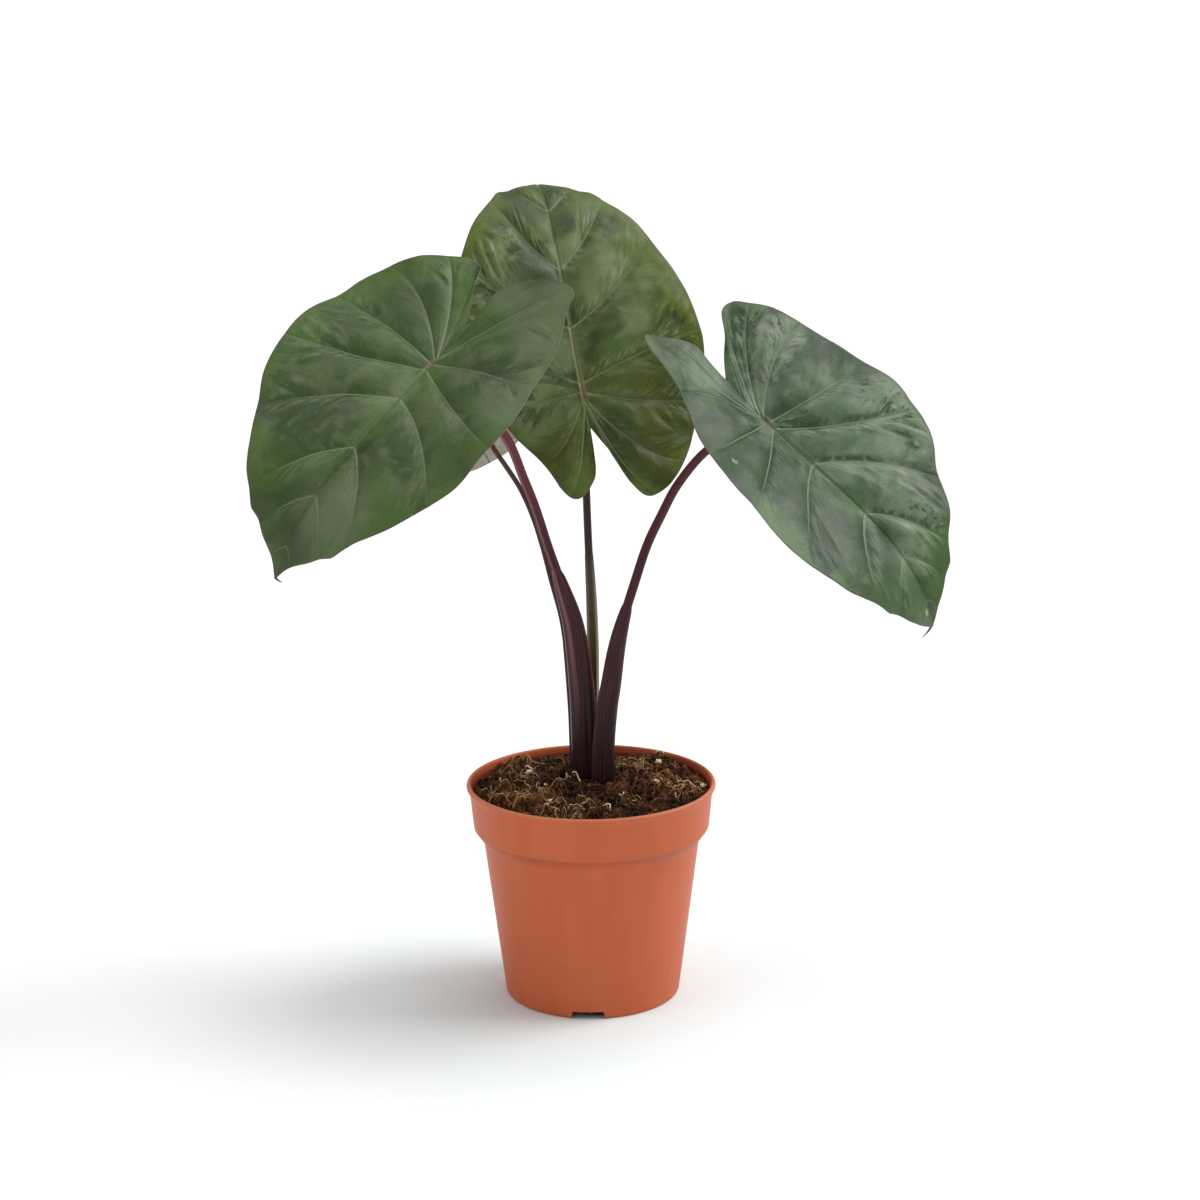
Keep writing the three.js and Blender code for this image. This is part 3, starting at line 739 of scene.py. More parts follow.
def leafAxes(leaf):
    # across to the blade's right, along the midrib, and up out of its face
    azimuth, droop, roll = (math.radians(leaf[key]) for key in ("azimuth", "droop", "roll"))
    along = np.array([
        math.sin(azimuth) * math.cos(droop),
        math.cos(azimuth) * math.cos(droop),
        -math.sin(droop),
    ])
    level = np.array([math.cos(azimuth), -math.sin(azimuth), 0])
    lifted = np.cross(level, along)
    across = level * math.cos(roll) + lifted * math.sin(roll)
    return across, along, lifted * math.cos(roll) - level * math.sin(roll)


def midribCurve(leaf, v):
    # the midrib from the side: its slope grows as the cube of the distance to the tip, and evenly
    # behind the junction; place is the sum of the slopes
    length, step = leaf["roots"][0], 0.5
    steps = np.arange(-90, length + 12, step)
    middles = (steps[1:] + steps[:-1]) / 2

    def slopeAt(distance):
        forward = -math.radians(leaf["tipDroop"]) * (np.abs(distance) / length) ** 3
        return np.where(distance > 0, forward, math.radians(leaf["lobeRise"]) * distance / 100)

    run = np.concatenate([[0], np.cumsum(step * np.cos(slopeAt(middles)))])
    lift = np.concatenate([[0], np.cumsum(step * np.sin(slopeAt(middles)))])
    run = run - np.interp(0, steps, run)
    lift = lift - np.interp(0, steps, lift)
    return np.interp(v, steps, run), np.interp(v, steps, lift), slopeAt(v)


def leafFlat(leaf, side, s, t):
    # where rib number s at the share t of its length lies on the flattened blade, out from the
    # midrib and along it; an arched rib runs ahead of or behind the straight line to its end
    right, left = (
        throughRows(np.column_stack([leaf[key], leaf["roots"], blade["ribArch"]]), s)
        for key in ("right", "left")
    )
    edgeU, edgeV, root, arch = np.moveaxis(np.where(side[..., None] > 0, right, left), -1, 0)
    return edgeU * t, root + (edgeV - root) * (t + arch * t * (1 - t))


def leafPoint(leaf, side, s, t, height):
    # the flat point is folded and curled about the midrib, twisted, bowed, and carried on the
    # midrib's curve; height is measured square to the blade, turning to straight up at the midrib
    # and at both ends
    u, v = leafFlat(leaf, side, s, t)
    last = len(leaf["roots"]) - 1
    fold, curl = math.radians(leaf["fold"]), math.radians(leaf["curl"])
    chord, lean = fold - curl * u / 200, fold - curl * u / 100
    tilt = lean * np.minimum.reduce([np.ones_like(s), t / 0.08, 2 * s, 2 * (last - s)])
    flatX = side * (u * np.cos(chord) - height * np.sin(tilt))
    flatZ = u * np.sin(chord) + height * np.cos(tilt)
    twist = math.radians(leaf["twist"]) * v / 100
    x = flatX * np.cos(twist) - flatZ * np.sin(twist) + leaf["bow"] * np.maximum(v / 100, 0) ** 2
    z = flatX * np.sin(twist) + flatZ * np.cos(twist)
    run, lift, slope = midribCurve(leaf, v)
    across, along, up = (axis[None, None] for axis in leafAxes(leaf))
    x, y, z = x[..., None], (run - z * np.sin(slope))[..., None], (lift + z * np.cos(slope))[..., None]
    return np.array(leaf["junction"]) + across * x + along * y + up * z


def leafSlopes(leaf, side, s, t, overS, overT):
    # how fast the flat point moves when s or t changes, from a small step either way
    before = leafFlat(leaf, side, s - overS, t - overT)
    after = leafFlat(leaf, side, s + overS, t + overT)
    return [(end - start) / (2 * (overS + overT)) for start, end in zip(before, after)]


def leafMap(leaf, side, s, t):
    # distances on the flat blade, in millimetres, which the relief and the colours follow: a small
    # step over the ribs and one along them span a cell, whose width is the way to the next rib;
    # each rib has a ridge on the side of the tip and a furrow on the side of the notch
    u, v = leafFlat(leaf, side, s, t)
    step = 0.01
    overU, overV = leafSlopes(leaf, side, s, t, step, 0)
    outU, outV = leafSlopes(leaf, side, s, t, 0, step)
    cell = np.abs(overU * outV - overV * outU)
    spacing = cell / np.maximum(np.hypot(outU, outV), 0.1)
    fromRib = np.abs(s - np.round(s))
    ribGap = fromRib * spacing
    ribShow = np.array(blade["ribShow"])[np.round(s).astype(int)]
    clear = np.where(side > 0, *leaf["folds"]) * ribShow * rise(t, 0.03, 0.15) * rise(t, 1, 0.6)
    clear = clear * (1 - blade["smoothLobes"] * rise(s, 4.5, 6.5))
    ridge, furrow = (
        clear * bump(ribGap - blade[f"{key}At"], blade[f"{key}HalfWidth"]) for key in ("ridge", "furrow")
    )
    return {
        "across": side * u,
        "along": v,
        "ribGap": ribGap,
        "panelGap": (0.5 - fromRib) * spacing,
        "midribGap": u,
        "edgeGap": np.maximum(1 - t, 0) * cell / np.maximum(np.hypot(overU, overV), 0.1),
        "out": np.hypot(u, v - throughRows(leaf["roots"], s)[..., 0]),
        "share": t,
        "ribShow": ribShow,
        "ridge": ridge * (s < np.round(s)),
        "furrow": furrow * (s > np.round(s)),
    }


def leafFolds(leaf, side, s, at):
    # short folds that lean away from the ribs: noise drawn out along the folds, in patches and
    # stronger towards the margin; then broader streaks and fine pleats for the colour. Panel moves
    # the noise on, so that it differs from one panel between two ribs to the next
    lean = blade["foldLean"]
    beside = at["out"] * math.sin(lean) - at["ribGap"] * math.cos(lean)
    ahead = at["out"] * math.cos(lean) + at["ribGap"] * math.sin(lean)
    panel = 17 * np.floor(s) + 5 * side + 40
    wide, long, seed = blade["foldWidth"], blade["foldLength"], leaf["seed"]
    folds = hills(beside / wide + panel, ahead / long + panel, seed)
    folds = folds + 0.35 * hills(2 * beside / wide + panel, 1.6 * ahead / long + panel, seed + 5)
    area = blade["foldPatch"]
    patches = hills(at["across"] / area + 9, at["along"] / area + 9, seed + 1)
    strength = np.where(side > 0, *leaf["folds"]) * (0.25 + 0.75 * rise(patches, -0.3, 0.5))
    strength = strength * (0.45 + 0.55 * rise(at["share"], 0.15, 0.7))
    room = rise(at["ribGap"], 0.3, 3) * rise(at["edgeGap"], 0.5, 8) * rise(at["out"], 4, 18)
    edges = rise(at["ribGap"], 0.2, 1.2) * rise(at["edgeGap"], 0.5, 4)
    streak = hills(beside / (2.4 * wide) + panel, ahead / (2.6 * long) + panel, seed + 8)
    return {
        "crest": strength * room * (1 - 0.5 * bump(at["panelGap"], 1.8)) * folds,
        "streak": streak * rise(at["ribGap"], 0.2, 2),
        "pleated": strength * edges * (1 - 0.8 * bump(at["panelGap"], 2.5)),
        "acrossPleat": beside / blade["pleatWidth"],
        "alongPleat": ahead / blade["pleatLength"],
        "station": s,
    }


def leafRelief(leaf, s, t, at):
    # the upper face bulges between the ribs, folds, puckers, sinks at the veins and waves at the
    # margin; the thickness adds the ribs below
    last = len(leaf["roots"]) - 1
    ends = np.minimum.reduce([np.ones_like(s), s, last - s])
    inner = np.clip(t, 0, 1)
    narrow = rise(at["ribGap"] + at["panelGap"], 1, 9)
    valley = at["ribShow"] * (1 - np.abs(np.sin(np.pi * s)) ** 0.8)
    bulge = (1 - valley) * narrow * rise(s, 0.2, 3)
    quilting = blade["quilting"] * bulge * np.sin(np.pi * inner**0.8)
    wave = blade["wave"] * t**3 * np.sin(2 * np.pi * s / blade["wavePitch"]) * rise(s, 1, 4)
    coarse, fine = (
        hills(at["across"] / size + 30, at["along"] / size + 30, leaf["seed"] + 2 + k)
        for k, size in enumerate(blade["puckerSizes"])
    )
    puckers = blade["pucker"] * (coarse + 0.4 * fine) * rise(at["out"], 2, 12)
    groove = -blade["grooveDepth"] * bump(at["ribGap"], 0.9) * (1 - 0.7 * inner) * rise(at["out"], 1, 4)
    root = throughRows(leaf["roots"], s)[..., 0]
    taper = np.where(root > 0, 1 - 0.85 * root / leaf["roots"][0], bump(root, 8))
    borders = 0.3 * bump(at["midribGap"] - 1.6 * taper, 0.7) - 0.35 * bump(at["midribGap"], 0.8)
    folds = blade["foldHeight"] * at["crest"] + blade["ridgeHeight"] * (at["ridge"] - at["furrow"])
    upper = ends * (quilting + wave)
    upper = upper + rise(ends, 0, 0.4) * (folds + puckers + at["ribShow"] * groove + taper * borders)
    midrib = blade["midribHeight"] * taper * bump(at["midribGap"], blade["midribHalfWidth"])
    rib = blade["ribHeight"] * (1 - inner) * bump(at["ribGap"], blade["ribHalfWidth"])
    sheet = blade["thickness"] - blade["thinMargin"] * rise(inner, 0.8, 1)
    return upper, sheet + ends * np.maximum(midrib, rib)


def marginSpans(leaf):
    # the way from each outline point to the next, on the half where it is longer
    return np.maximum(*(spanLengths(np.array(leaf[key], float)) for key in ("right", "left")))


def leafStations(leaf):
    # every panel between two ribs gets a share of the rows that follows its width at the margin
    spans = marginSpans(leaf)
    rows = blade["rows"] * leaf["detail"]
    counts = np.maximum(6, np.round(rows * spans / spans.sum()).astype(int))
    stations = [i + np.arange(n) / n for i, n in enumerate(counts)]
    last = len(leaf["roots"]) - 1
    inner = np.concatenate(stations)[1:]
    return np.concatenate([[0.03], inner, [last - 0.03]])


def marginUnevenness(leaf, side, s, at):
    # the margin swings in and out with its distance from the tip, and draws in at each rib
    fromTip = np.interp(s, np.arange(len(leaf["roots"])), np.cumsum([0, *marginSpans(leaf)]))
    place = fromTip / blade["raggedPitch"] + 20 * side + 30
    swing = blade["ragged"] * hills(place, 0 * s + 7.5, leaf["seed"] + 4)
    return (swing - blade["scallop"] * np.cos(2 * np.pi * s) * at["ribShow"]) * rise(s, 0.8, 3)


def bladeRings(leaf):
    # a ring runs over the upper face from the left margin to the right one, round the margin, back
    # below, and round the other margin
    even = np.linspace(0, 1, round(blade["columns"] * leaf["detail"]) + 1)
    half = 0.65 * even + 0.175 * (1 - np.cos(np.pi * even))
    share = np.concatenate([half[::-1], half[1:]])
    way = np.concatenate([-np.ones(len(half)), np.ones(len(half) - 1)])
    s = leafStations(leaf)[:, None] + 0 * share[None]
    t, side = share[None] + 0 * s, way[None] + 0 * s
    at = leafMap(leaf, side, s, t)
    at.update(leafFolds(leaf, side, s, at))
    upper, thick = leafRelief(leaf, s, t, at)
    reach = np.maximum(at["out"] + at["edgeGap"], 12)
    t = t * (1 + t**2 * marginUnevenness(leaf, side, s, at) / reach)
    top = leafPoint(leaf, side, s, t, upper)
    bottom = leafPoint(leaf, side, s, t, upper - thick)
    rims = []
    for column in (-1, 0):
        edges = [value[:, column:][:, :1] for value in (side, s, t, upper - thick / 2)]
        rimReach = np.minimum(0.3 / reach[:, column:][:, :1], 0.1)
        rims.append(leafPoint(leaf, edges[0], edges[1], edges[2] + rimReach, edges[3]))
    rings = np.concatenate([top, rims[0], bottom[:, ::-1], rims[1]], 1)
    values = {}
    for key, value in at.items():
        parts = [value, value[:, -1:], value[:, ::-1], value[:, :1]]
        values[key] = np.concatenate(parts, 1)[None]
    sides = [0 * t, 0 * t[:, :1] + 0.5, 0 * t + 1, 0 * t[:, :1] + 0.5]
    values["underside"] = np.concatenate(sides, 1)[None]
    return rings[None], values


def leafFields(paint, look):
    # the blade's own attributes, noise on its flat sheet, and how clearly ribs and midrib show
    keys = ("across", "along", "ribGap", "midribGap", "edgeGap", "share", "ribShow", "ridge", "furrow",
            "crest", "streak", "pleated", "acrossPleat", "alongPleat", "station", "underside")
    at = {key: paint.attribute(key) for key in keys}
    flat = paint.vector(at["across"], at["along"], 7.0 * look["seed"])
    pleatPlace = paint.vector(at["acrossPleat"], at["alongPleat"], at["station"])
    length = look["roots"][0]
    midribWidth = 1.7 - 1.35 * paint.ramp(at["along"], -0.1 * length, 0.6 * length)
    front = paint.ramp(at["along"], -4.0, 2.0)
    core = front * paint.ramp(at["along"], 60.0, 10.0)
    ribWidths = at["ribGap"] / (0.55 - 0.25 * at["share"])
    at.update({
        "flat": flat,
        "broad": paint.clouds(flat, 0.022, 2.0, 0.5, 0.6),
        "middle": paint.clouds(flat, 0.06, 3.0, 0.55, 0.9),
        "small": paint.clouds(flat, 0.28, 3.0, 0.6),
        "pleats": paint.clouds(pleatPlace, 1.0, 2.0, 0.55, 0.3),
        "ribLine": paint.ramp(ribWidths, 1.3, 0.3),
        "ribBelow": paint.ramp(ribWidths, 1.8, 0.7),
        "midribBand": paint.ramp(at["midribGap"] / midribWidth, 1.2, 0.7) * front,
        "midribCore": paint.ramp(at["midribGap"], 0.5, 0.15) * core,
    })
    return at


def sheetColour(paint, look, at):
    # soft patches of deeper, greyer and fresher green, and then the listed patches, where pale ones
    # are painted sheen and deep ones partly painted shade
    broad, middle, streak, edgeGap = (at[key] for key in ("broad", "middle", "streak", "edgeGap"))
    nearEdge = paint.ramp(edgeGap, 32.0, 3.0)
    young = paint.ramp(0.5 - broad + 0.14 * streak + nearEdge * look["yellowing"], 0.02, 0.3)
    shaded = paint.ramp(edgeGap, 26.0, 8.0) * paint.ramp(broad - 0.2 * streak, 0.46, 0.62)
    colour = paint.over(
        tint(*look["body"]),
        (paint.ramp(broad, 0.42, 0.62), look["deep"]),
        (0.7 * paint.ramp(middle + 0.12 * streak, 0.44, 0.64), look["grey"]),
        (0.6 * young, look["fresh"]),
        (0.6 * shaded, look["deep"]),
        (0.3 * paint.ramp(at["small"], 0.5, 0.75), look["deep"]),
    )
    # pale patches are painted sheen, deep ones partly painted shade
    for tone, strength in (("deep", 0.7), ("olive", 0.7), ("fresh", 0.7), ("pale", 0.6)):
        for x, y, size in look["patches"].get(tone, []):
            distance = paint.reach(paint.vector(at["across"] - x, at["along"] - y))
            patch = paint.ramp(distance + 24.0 * (middle - 0.5), size, 0.3 * size)
            colour = paint.over(colour, (strength * patch, look[tone]))
    return colour


def foldColour(paint, look, at, colour):
    # the light and shade of the folds, of the fine pleats on them, and beside each rib
    crest, pleated, pleats = at["crest"], at["pleated"], at["pleats"]
    return paint.over(
        colour,
        (0.5 * paint.ramp(crest, 0.08, 0.6), look["grey"]),
        (0.7 * paint.ramp(crest, -0.08, -0.6), look["deep"]),
        (0.6 * pleated * paint.ramp(pleats, 0.57, 0.72), look["pale"]),
        (0.8 * pleated * paint.ramp(pleats, 0.46, 0.32), look["deep"]),
        (0.6 * at["ridge"] * paint.ramp(pleats, 0.44, 0.62), look["pale"]),
        (0.75 * at["furrow"] * paint.ramp(pleats + at["middle"], 1.2, 0.85), look["deep"]),
    )


def ribColour(paint, look, at, colour):
    # pale ribs, a midrib that fades towards the tip with a darker middle, and a brownish junction
    along, length = at["along"], look["roots"][0]
    fading = 0.75 - 0.45 * paint.ramp(along, 0.1 * length, 0.7 * length)
    fromJunction = paint.reach(paint.vector(at["across"], along))
    return paint.over(
        colour,
        (0.8 * at["ribLine"] * paint.ramp(at["share"], 1.0, 0.45) * at["ribShow"], look["vein"]),
        (at["midribBand"] * fading, look["midrib"]),
        (0.4 * at["midribCore"], look["deep"]),
        (0.55 * paint.ramp(fromJunction, 4.5, 1.0), blade["junctionTone"]),
    )


def markColour(paint, look, at, colour):
    # pale dust and a few small scars, and a thin dull line at the margin
    specks = paint.ramp(paint.cells(at["flat"], 0.1), 0.05, 0.02) * paint.ramp(at["middle"], 0.5, 0.6)
    colour = paint.over(colour, (0.4 * specks, blade["dust"]))
    for x, y, size in look["marks"]:
        place = paint.vector(at["across"] - x, (at["along"] - y) * 0.6)
        ragged = paint.reach(place) + 2.4 * (paint.clouds(at["flat"], 0.9, 2.0) - 0.5)
        colour = paint.over(colour, (0.7 * paint.ramp(ragged, size, 0.4 * size), blade["scar"]))
    return paint.over(colour, (0.5 * paint.ramp(at["edgeGap"], 0.8, 0.25), blade["margin"]))


def belowColour(paint, at):
    # a pale pinkish grey, with dark ribs
    striped = paint.clouds(paint.stretch(at["flat"], (0.25, 1.6, 1.0)), 1.0, 3.0)
    return paint.over(
        tint(*blade["below"]),
        (paint.ramp(striped, 0.35, 0.65), blade["belowStripe"]),
        (0.35 * paint.ramp(at["crest"], 0.1, 0.9), blade["belowFold"]),
        (0.8 * at["ribBelow"], blade["belowRib"]),
        (0.9 * at["midribBand"], blade["belowMidrib"]),
    )


def leafMaterial(name, look):
    paint = Paint(name)
    at = leafFields(paint, look)
    colour = sheetColour(paint, look, at)
    for addColour in (foldColour, ribColour, markColour):
        colour = addColour(paint, look, at, colour)
    skin = paint.clouds(at["flat"], 1.1, 3.0, 0.6)
    mesh = paint.ramp(paint.cells(at["flat"], 0.42, "DISTANCE_TO_EDGE"), 0.1, 0.02)
    height = 0.25 * skin + 0.6 * at["small"] - 0.15 * mesh - 0.5 * at["ribLine"]
    return paint.set({
        "Base Color": paint.blend(at["underside"], colour, belowColour(paint, at)),
        "Roughness": 0.38 + 0.14 * at["middle"] + 0.16 * at["underside"],
        "Normal": paint.relief(height + 2.0 * at["pleated"] * at["pleats"], 0.0003, 0.6),
        "Specular IOR Level": 0.35,
    })


leafTail = {"points": 14, "sides": 10, "radius": [0.75, 0.12]}


def tailRings(leaf):
    # a thread that tapers from the tip of the blade along its own short path
    side, s, t, height = (np.array([[value]]) for value in (1.0, 0.0, 0.0, -0.4))
    tip = leafPoint(leaf, side, s, t, height)[0, 0]
    path = smoothPath(tip + np.array(leaf["tail"], float), leafTail["points"])
    radii = np.linspace(*leafTail["radius"], leafTail["points"])
    return tubeRings(path, radii, leafTail["sides"], [0.3, 1.0, 0.2])[None]


def joinPieces(piece, other):
    # other becomes part of piece
    with bpy.context.temp_override(active_object=piece, selected_editable_objects=[piece, other]):
        bpy.ops.object.join()


def makeLeaf(name):
    leaf = leaves[name]
    rings, values = bladeRings(leaf)
    piece = makePiece(f"leafBlade.{name}", rings, values)
    tail = tailRings(leaf)
    plain = np.zeros(tail.shape[:3])
    tailValues = {key: plain for key in values}
    tailValues["along"] = plain + leaf["roots"][0]
    tailValues["ribGap"] = plain + 5
    joinPieces(piece, makePiece(f"leafTail.{name}", tail, tailValues))
    material = leafMaterial(f"leaf{name.title()}", leaf)
    finishPiece(piece, material, leaf.get("slot", "leaf"), f"blade_{name}")


for leafName in leaves:
    makeLeaf(leafName)


# the stalks

# Each stalk runs through the points of its path, from the corm to its blade. It is round above
# sheathTop; below, a sheath widens it towards facing. Its radius is given at the blade and at the
# foot, and shine is the strength of a painted highlight streak along its front.
stalks = {
    "left": {
        "path": [[-2.4, 12, 99], [-3, 11.5, 132], [-3.8, 11, 148], [-7.5, 9, 180], [-13, 7, 200],
                 [-19.4, 4.5, 220], [-25.2, 1.5, 240], [-30.2, -1, 254], [-38.2, -6, 275],
                 [-54, -12, 294]],
        "facing": [1, 0, 0],
        "sheathTop": 207,
        "radius": [2.1, 2.4],
        "sheathWidth": 4.5,
        "sheathDepth": 2.1,
        "body": (60, 18, 26),
        "foot": (34, 10, 12),
        "sheath": (42, 15, 19),
        "edge": (96, 58, 64),
        "top": (106, 54, 60),
        "shine": 0.5,
    },
    "right": {
        "path": [[5.6, 4, 99], [6, 4, 123], [7.9, 3.5, 142], [9.6, 3, 152], [12.4, 2, 170],
                 [15.1, 1.5, 182], [21.4, 0.5, 203], [27.5, -1, 222], [34.3, -3, 237],
                 [41.4, -5, 251], [54.7, -9, 268], [67, -13, 276]],
        "facing": [-1, 0, 0],
        "sheathTop": 192,
        "radius": [1.9, 2.5],
        "sheathWidth": 3.4,
        "sheathDepth": 1.6,
        "body": (60, 18, 26),
        "foot": (36, 11, 13),
        "sheath": (42, 15, 19),
        "edge": (92, 54, 60),
        "top": (88, 40, 48),
        "shine": 0.0,
    },
    "back": {
        "path": [[0.6, 22.5, 99], [1.2, 21.5, 140], [1.4, 20.5, 165], [0.9, 19.5, 190],
                 [-0.2, 19.5, 215], [-1, 20.5, 240], [-1.6, 22.5, 262]],
        "facing": [0, -1, 0],
        "sheathTop": 214,
        "radius": [1.7, 2.1],
        "sheathWidth": 2.6,
        "sheathDepth": 1.1,
        "body": (54, 28, 30),
        "foot": (50, 30, 24),
        "sheath": (92, 84, 44),
        "edge": (148, 134, 96),
        "top": (56, 30, 34),
        "shine": 0.0,
    },
    "small": {
        "path": [[-8.4, 18.5, 99], [-8.6, 18.5, 118], [-9.5, 18.5, 141], [-13.2, 20, 179],
                 [-18.2, 22, 199], [-22.5, 24.5, 216], [-27, 27.5, 230], [-33, 31, 243]],
        "facing": [1, 0, 0],
        "sheathTop": 170,
        "radius": [1.2, 1.3],
        "sheathWidth": 0.7,
        "sheathDepth": 0.3,
        "body": (72, 38, 42),
        "foot": (50, 24, 28),
        "sheath": (60, 30, 34),
        "edge": (100, 66, 66),
        "top": (96, 72, 58),
        "shine": 0.0,
    },
}

stalk = {
    "sides": 72,
    "rings": 160,
    "start": 91.3,
    "straightEnd": 7,
    "under": 1.2,  # how far below the blade's sheet the stalk ends, inside its midrib
    "overhang": 3.3,  # how far below the blade's sheet its last straight stretch ends
    "sheathRamp": 26,
    "shoulder": 2.5,  # how abruptly the sheath starts
    "furrowDepth": 0.22,
    "furrowWidth": 0.25,
    "lipAt": 0.55,  # in radians round the stalk, from facing
    "lipHeight": 0.45,
    "lipHalfWidth": 0.14,
    "creaseAt": 1.35,
    "creaseDepth": 0.5,
    "creaseHalfWidth": 0.22,
    "creaseFor": 4.5,  # the sheath width at which the crease has its full depth
    "ribs": 17,
    "ribDepth": 0.05,
    "streak": (120, 58, 68),
    "blot": (26, 10, 14),
    "speck": (92, 56, 60),
    # the colour of the painted highlight streak
    "gleam": (158, 104, 110),
}


def stalkPath(name):
    # up from the corm through the points, ending square to the blade
    given = stalks[name]["path"]
    up = leafAxes(leaves[name])[2]
    junction = np.array(leaves[name]["junction"], float)
    first = [given[0][0], given[0][1], stalk["start"]]
    straight = stalk["overhang"] + stalk["straightEnd"]
    end = [junction - up * straight, junction - up * stalk["under"]]
    return smoothPath(np.vstack([first, given, end]), stalk["rings"])


def sheathShare(shape, path):
    # 0 above the sheath, and towards 1 the further down, with a shoulder where it starts
    below = np.maximum(0, shape["sheathTop"] - path[:, 2])
    return rise(below, 0, 2) * (1 - np.exp(-(below + stalk["shoulder"]) / stalk["sheathRamp"]))


def stalkRings(name):
    # a ring is a circle drawn out towards facing where the sheath opens, with a furrow between the
    # sheath's two lips and a crease where each side of the sheath leaves the stalk
    shape = stalks[name]
    path = stalkPath(name)
    forward = unit(np.gradient(path, axis=0))
    facing = np.array(shape["facing"], float)[None]
    facing = unit(facing - forward * (facing * forward).sum(1, keepdims=True))
    beside = np.cross(forward, facing)
    opened = sheathShare(shape, path)[:, None]
    thin, thick = shape["radius"]
    radius = np.linspace(thick, thin, len(path))[:, None]
    half = radius + shape["sheathWidth"] * opened
    depth = radius + shape["sheathDepth"] * opened
    turn = fullTurn(stalk["sides"])[None]
    fromFacing = np.abs((turn + np.pi) % (2 * np.pi) - np.pi)
    furrow = 1 - stalk["furrowDepth"] * opened * bump(np.sin(turn / 2), stalk["furrowWidth"])
    lips = stalk["lipHeight"] * bump(fromFacing - stalk["lipAt"], stalk["lipHalfWidth"])
    crease = stalk["creaseDepth"] * bump(fromFacing - stalk["creaseAt"], stalk["creaseHalfWidth"])
    uneven = opened * (lips - crease * shape["sheathWidth"] / stalk["creaseFor"])
    uneven = uneven + stalk["ribDepth"] * np.sin(stalk["ribs"] * turn + 3 * np.sin(3 * turn))
    grown = 1 + uneven / depth
    flat = facing[:, None] * (half * furrow * grown * np.cos(turn))[..., None]
    rings = path[:, None] + flat + beside[:, None] * (depth * grown * np.sin(turn))[..., None]
    distance = np.linspace(0, spanLengths(path).sum(), len(path))
    values = {
        "aroundX": np.cos(turn) + 0 * opened,
        "aroundY": np.sin(turn) + 0 * opened,
        "along": distance[:, None] + 0 * turn,
        "sheath": opened * rise(fromFacing, 1.5, 1.2),
        "lip": opened * bump(fromFacing - stalk["lipAt"], 0.13),
    }
    return rings[None], {key: value[None] for key, value in values.items()}


def stalkMaterial(name):
    look = stalks[name]
    paint = Paint(f"stalk{name.title()}")
    x, y, along = (paint.attribute(key) for key in ("aroundX", "aroundY", "along"))
    streaks = paint.clouds(paint.vector(7.0 * x, 7.0 * y, 0.03 * along), 1.0, 3.0, 0.6)
    mottle = paint.clouds(paint.vector(2.0 * x, 2.0 * y, 0.2 * along), 1.0, 3.0, 0.6, 0.5)
    speck = paint.clouds(paint.place(), 1400.0, 2.0)
    # a painted highlight streak along the stalk's front
    gleam = paint.ramp(abs(x + 0.5), 0.3, 0.05) * paint.ramp(y, 0.1, -0.3)
    gleam = gleam * paint.ramp(along, 20.0, 110.0)
    colour = paint.over(
        tint(*look["body"]),
        (paint.ramp(along, 120.0, 20.0), look["foot"]),
        (paint.ramp(along, 120.0, 210.0), look["top"]),
        (0.85 * paint.attribute("sheath"), look["sheath"]),
        (0.45 * paint.ramp(streaks, 0.54, 0.7), stalk["streak"]),
        (0.5 * paint.ramp(mottle, 0.5, 0.8), stalk["blot"]),
        (0.35 * paint.ramp(speck, 0.6, 0.75), stalk["speck"]),
        (look["shine"] * gleam, stalk["gleam"]),
        (0.6 * paint.attribute("lip"), look["edge"]),
    )
    return paint.set({
        "Base Color": colour,
        "Roughness": 0.3 + 0.16 * mottle,
        "Normal": paint.relief(streaks + 0.25 * speck, 0.00015, 0.5),
        "Specular IOR Level": 0.22,
    })


for stalkName in stalks:
    rings, values = stalkRings(stalkName)
    stalkPiece = makePiece(f"stalk.{stalkName}", rings, values)
    finishPiece(stalkPiece, stalkMaterial(stalkName), "petiole", f"petiole_{stalkName}")


# the soil

soil = {
    "edgeHeight": 100,
    # the mound round the stalks, a heap, a ridge at the back and a hollow: height, radius, x, y
    "domes": [[4.5, 30, 1, 8], [6.5, 10, 37, 34], [4, 13, -31, 36], [-4.5, 7, 22, -12]],
    "levels": [2, 20, 40, 60, 77, 80, 85, 90, 96],  # of the rings on the pot's inner wall
    "rings": 148,
    "sides": 320,
    "clods": 3,
    "clodSizes": [[10.0, 1.0], [4.8, 0.8], [2.1, 0.4]],  # each size with its share of the height
    "gap": 0.35,  # to the pot's inner wall
    "seed": 61,
    # the painted shade in the dips between the clods, and the colour of the damp patches
    "dark": (12, 6, 4),
    "brown": (92, 54, 32),
    "ochre": (164, 110, 66),
    "fibre": (140, 98, 58),
}


def soilBase(x, y):
    # bell-shaped domes, with low clumps from three waves that cross each other
    domes = sum(
        height * bump(np.hypot(x - atX, y - atY), radius) for height, radius, atX, atY in soil["domes"]
    )
    clumps = 0.9 * np.sin(0.19 * x + 1.1) * np.cos(0.23 * y - 0.4)
    clumps = clumps + 0.6 * np.sin(0.41 * x - 0.33 * y) + 0.5 * np.cos(0.37 * x + 0.52 * y + 2)
    return soil["edgeHeight"] + domes + clumps


def soilClods(x, y):
    # folded noise of several sizes, which gives round lumps with sharp dips between them
    lumps = 0
    for size, height in soil["clodSizes"]:
        field = hills(x / size + 25, y / size + 25, soil["seed"] + int(10 * size))
        lumps = lumps + height * (0.55 - 1.7 * np.abs(field))
    return lumps


def soilTop(x, y):
    return soilBase(x, y) + soil["clods"] * soilClods(x, y)


def innerRadius(z):
    outline = np.array(potInside()[::-1])
    return np.interp(z, outline[:, 1], outline[:, 0])


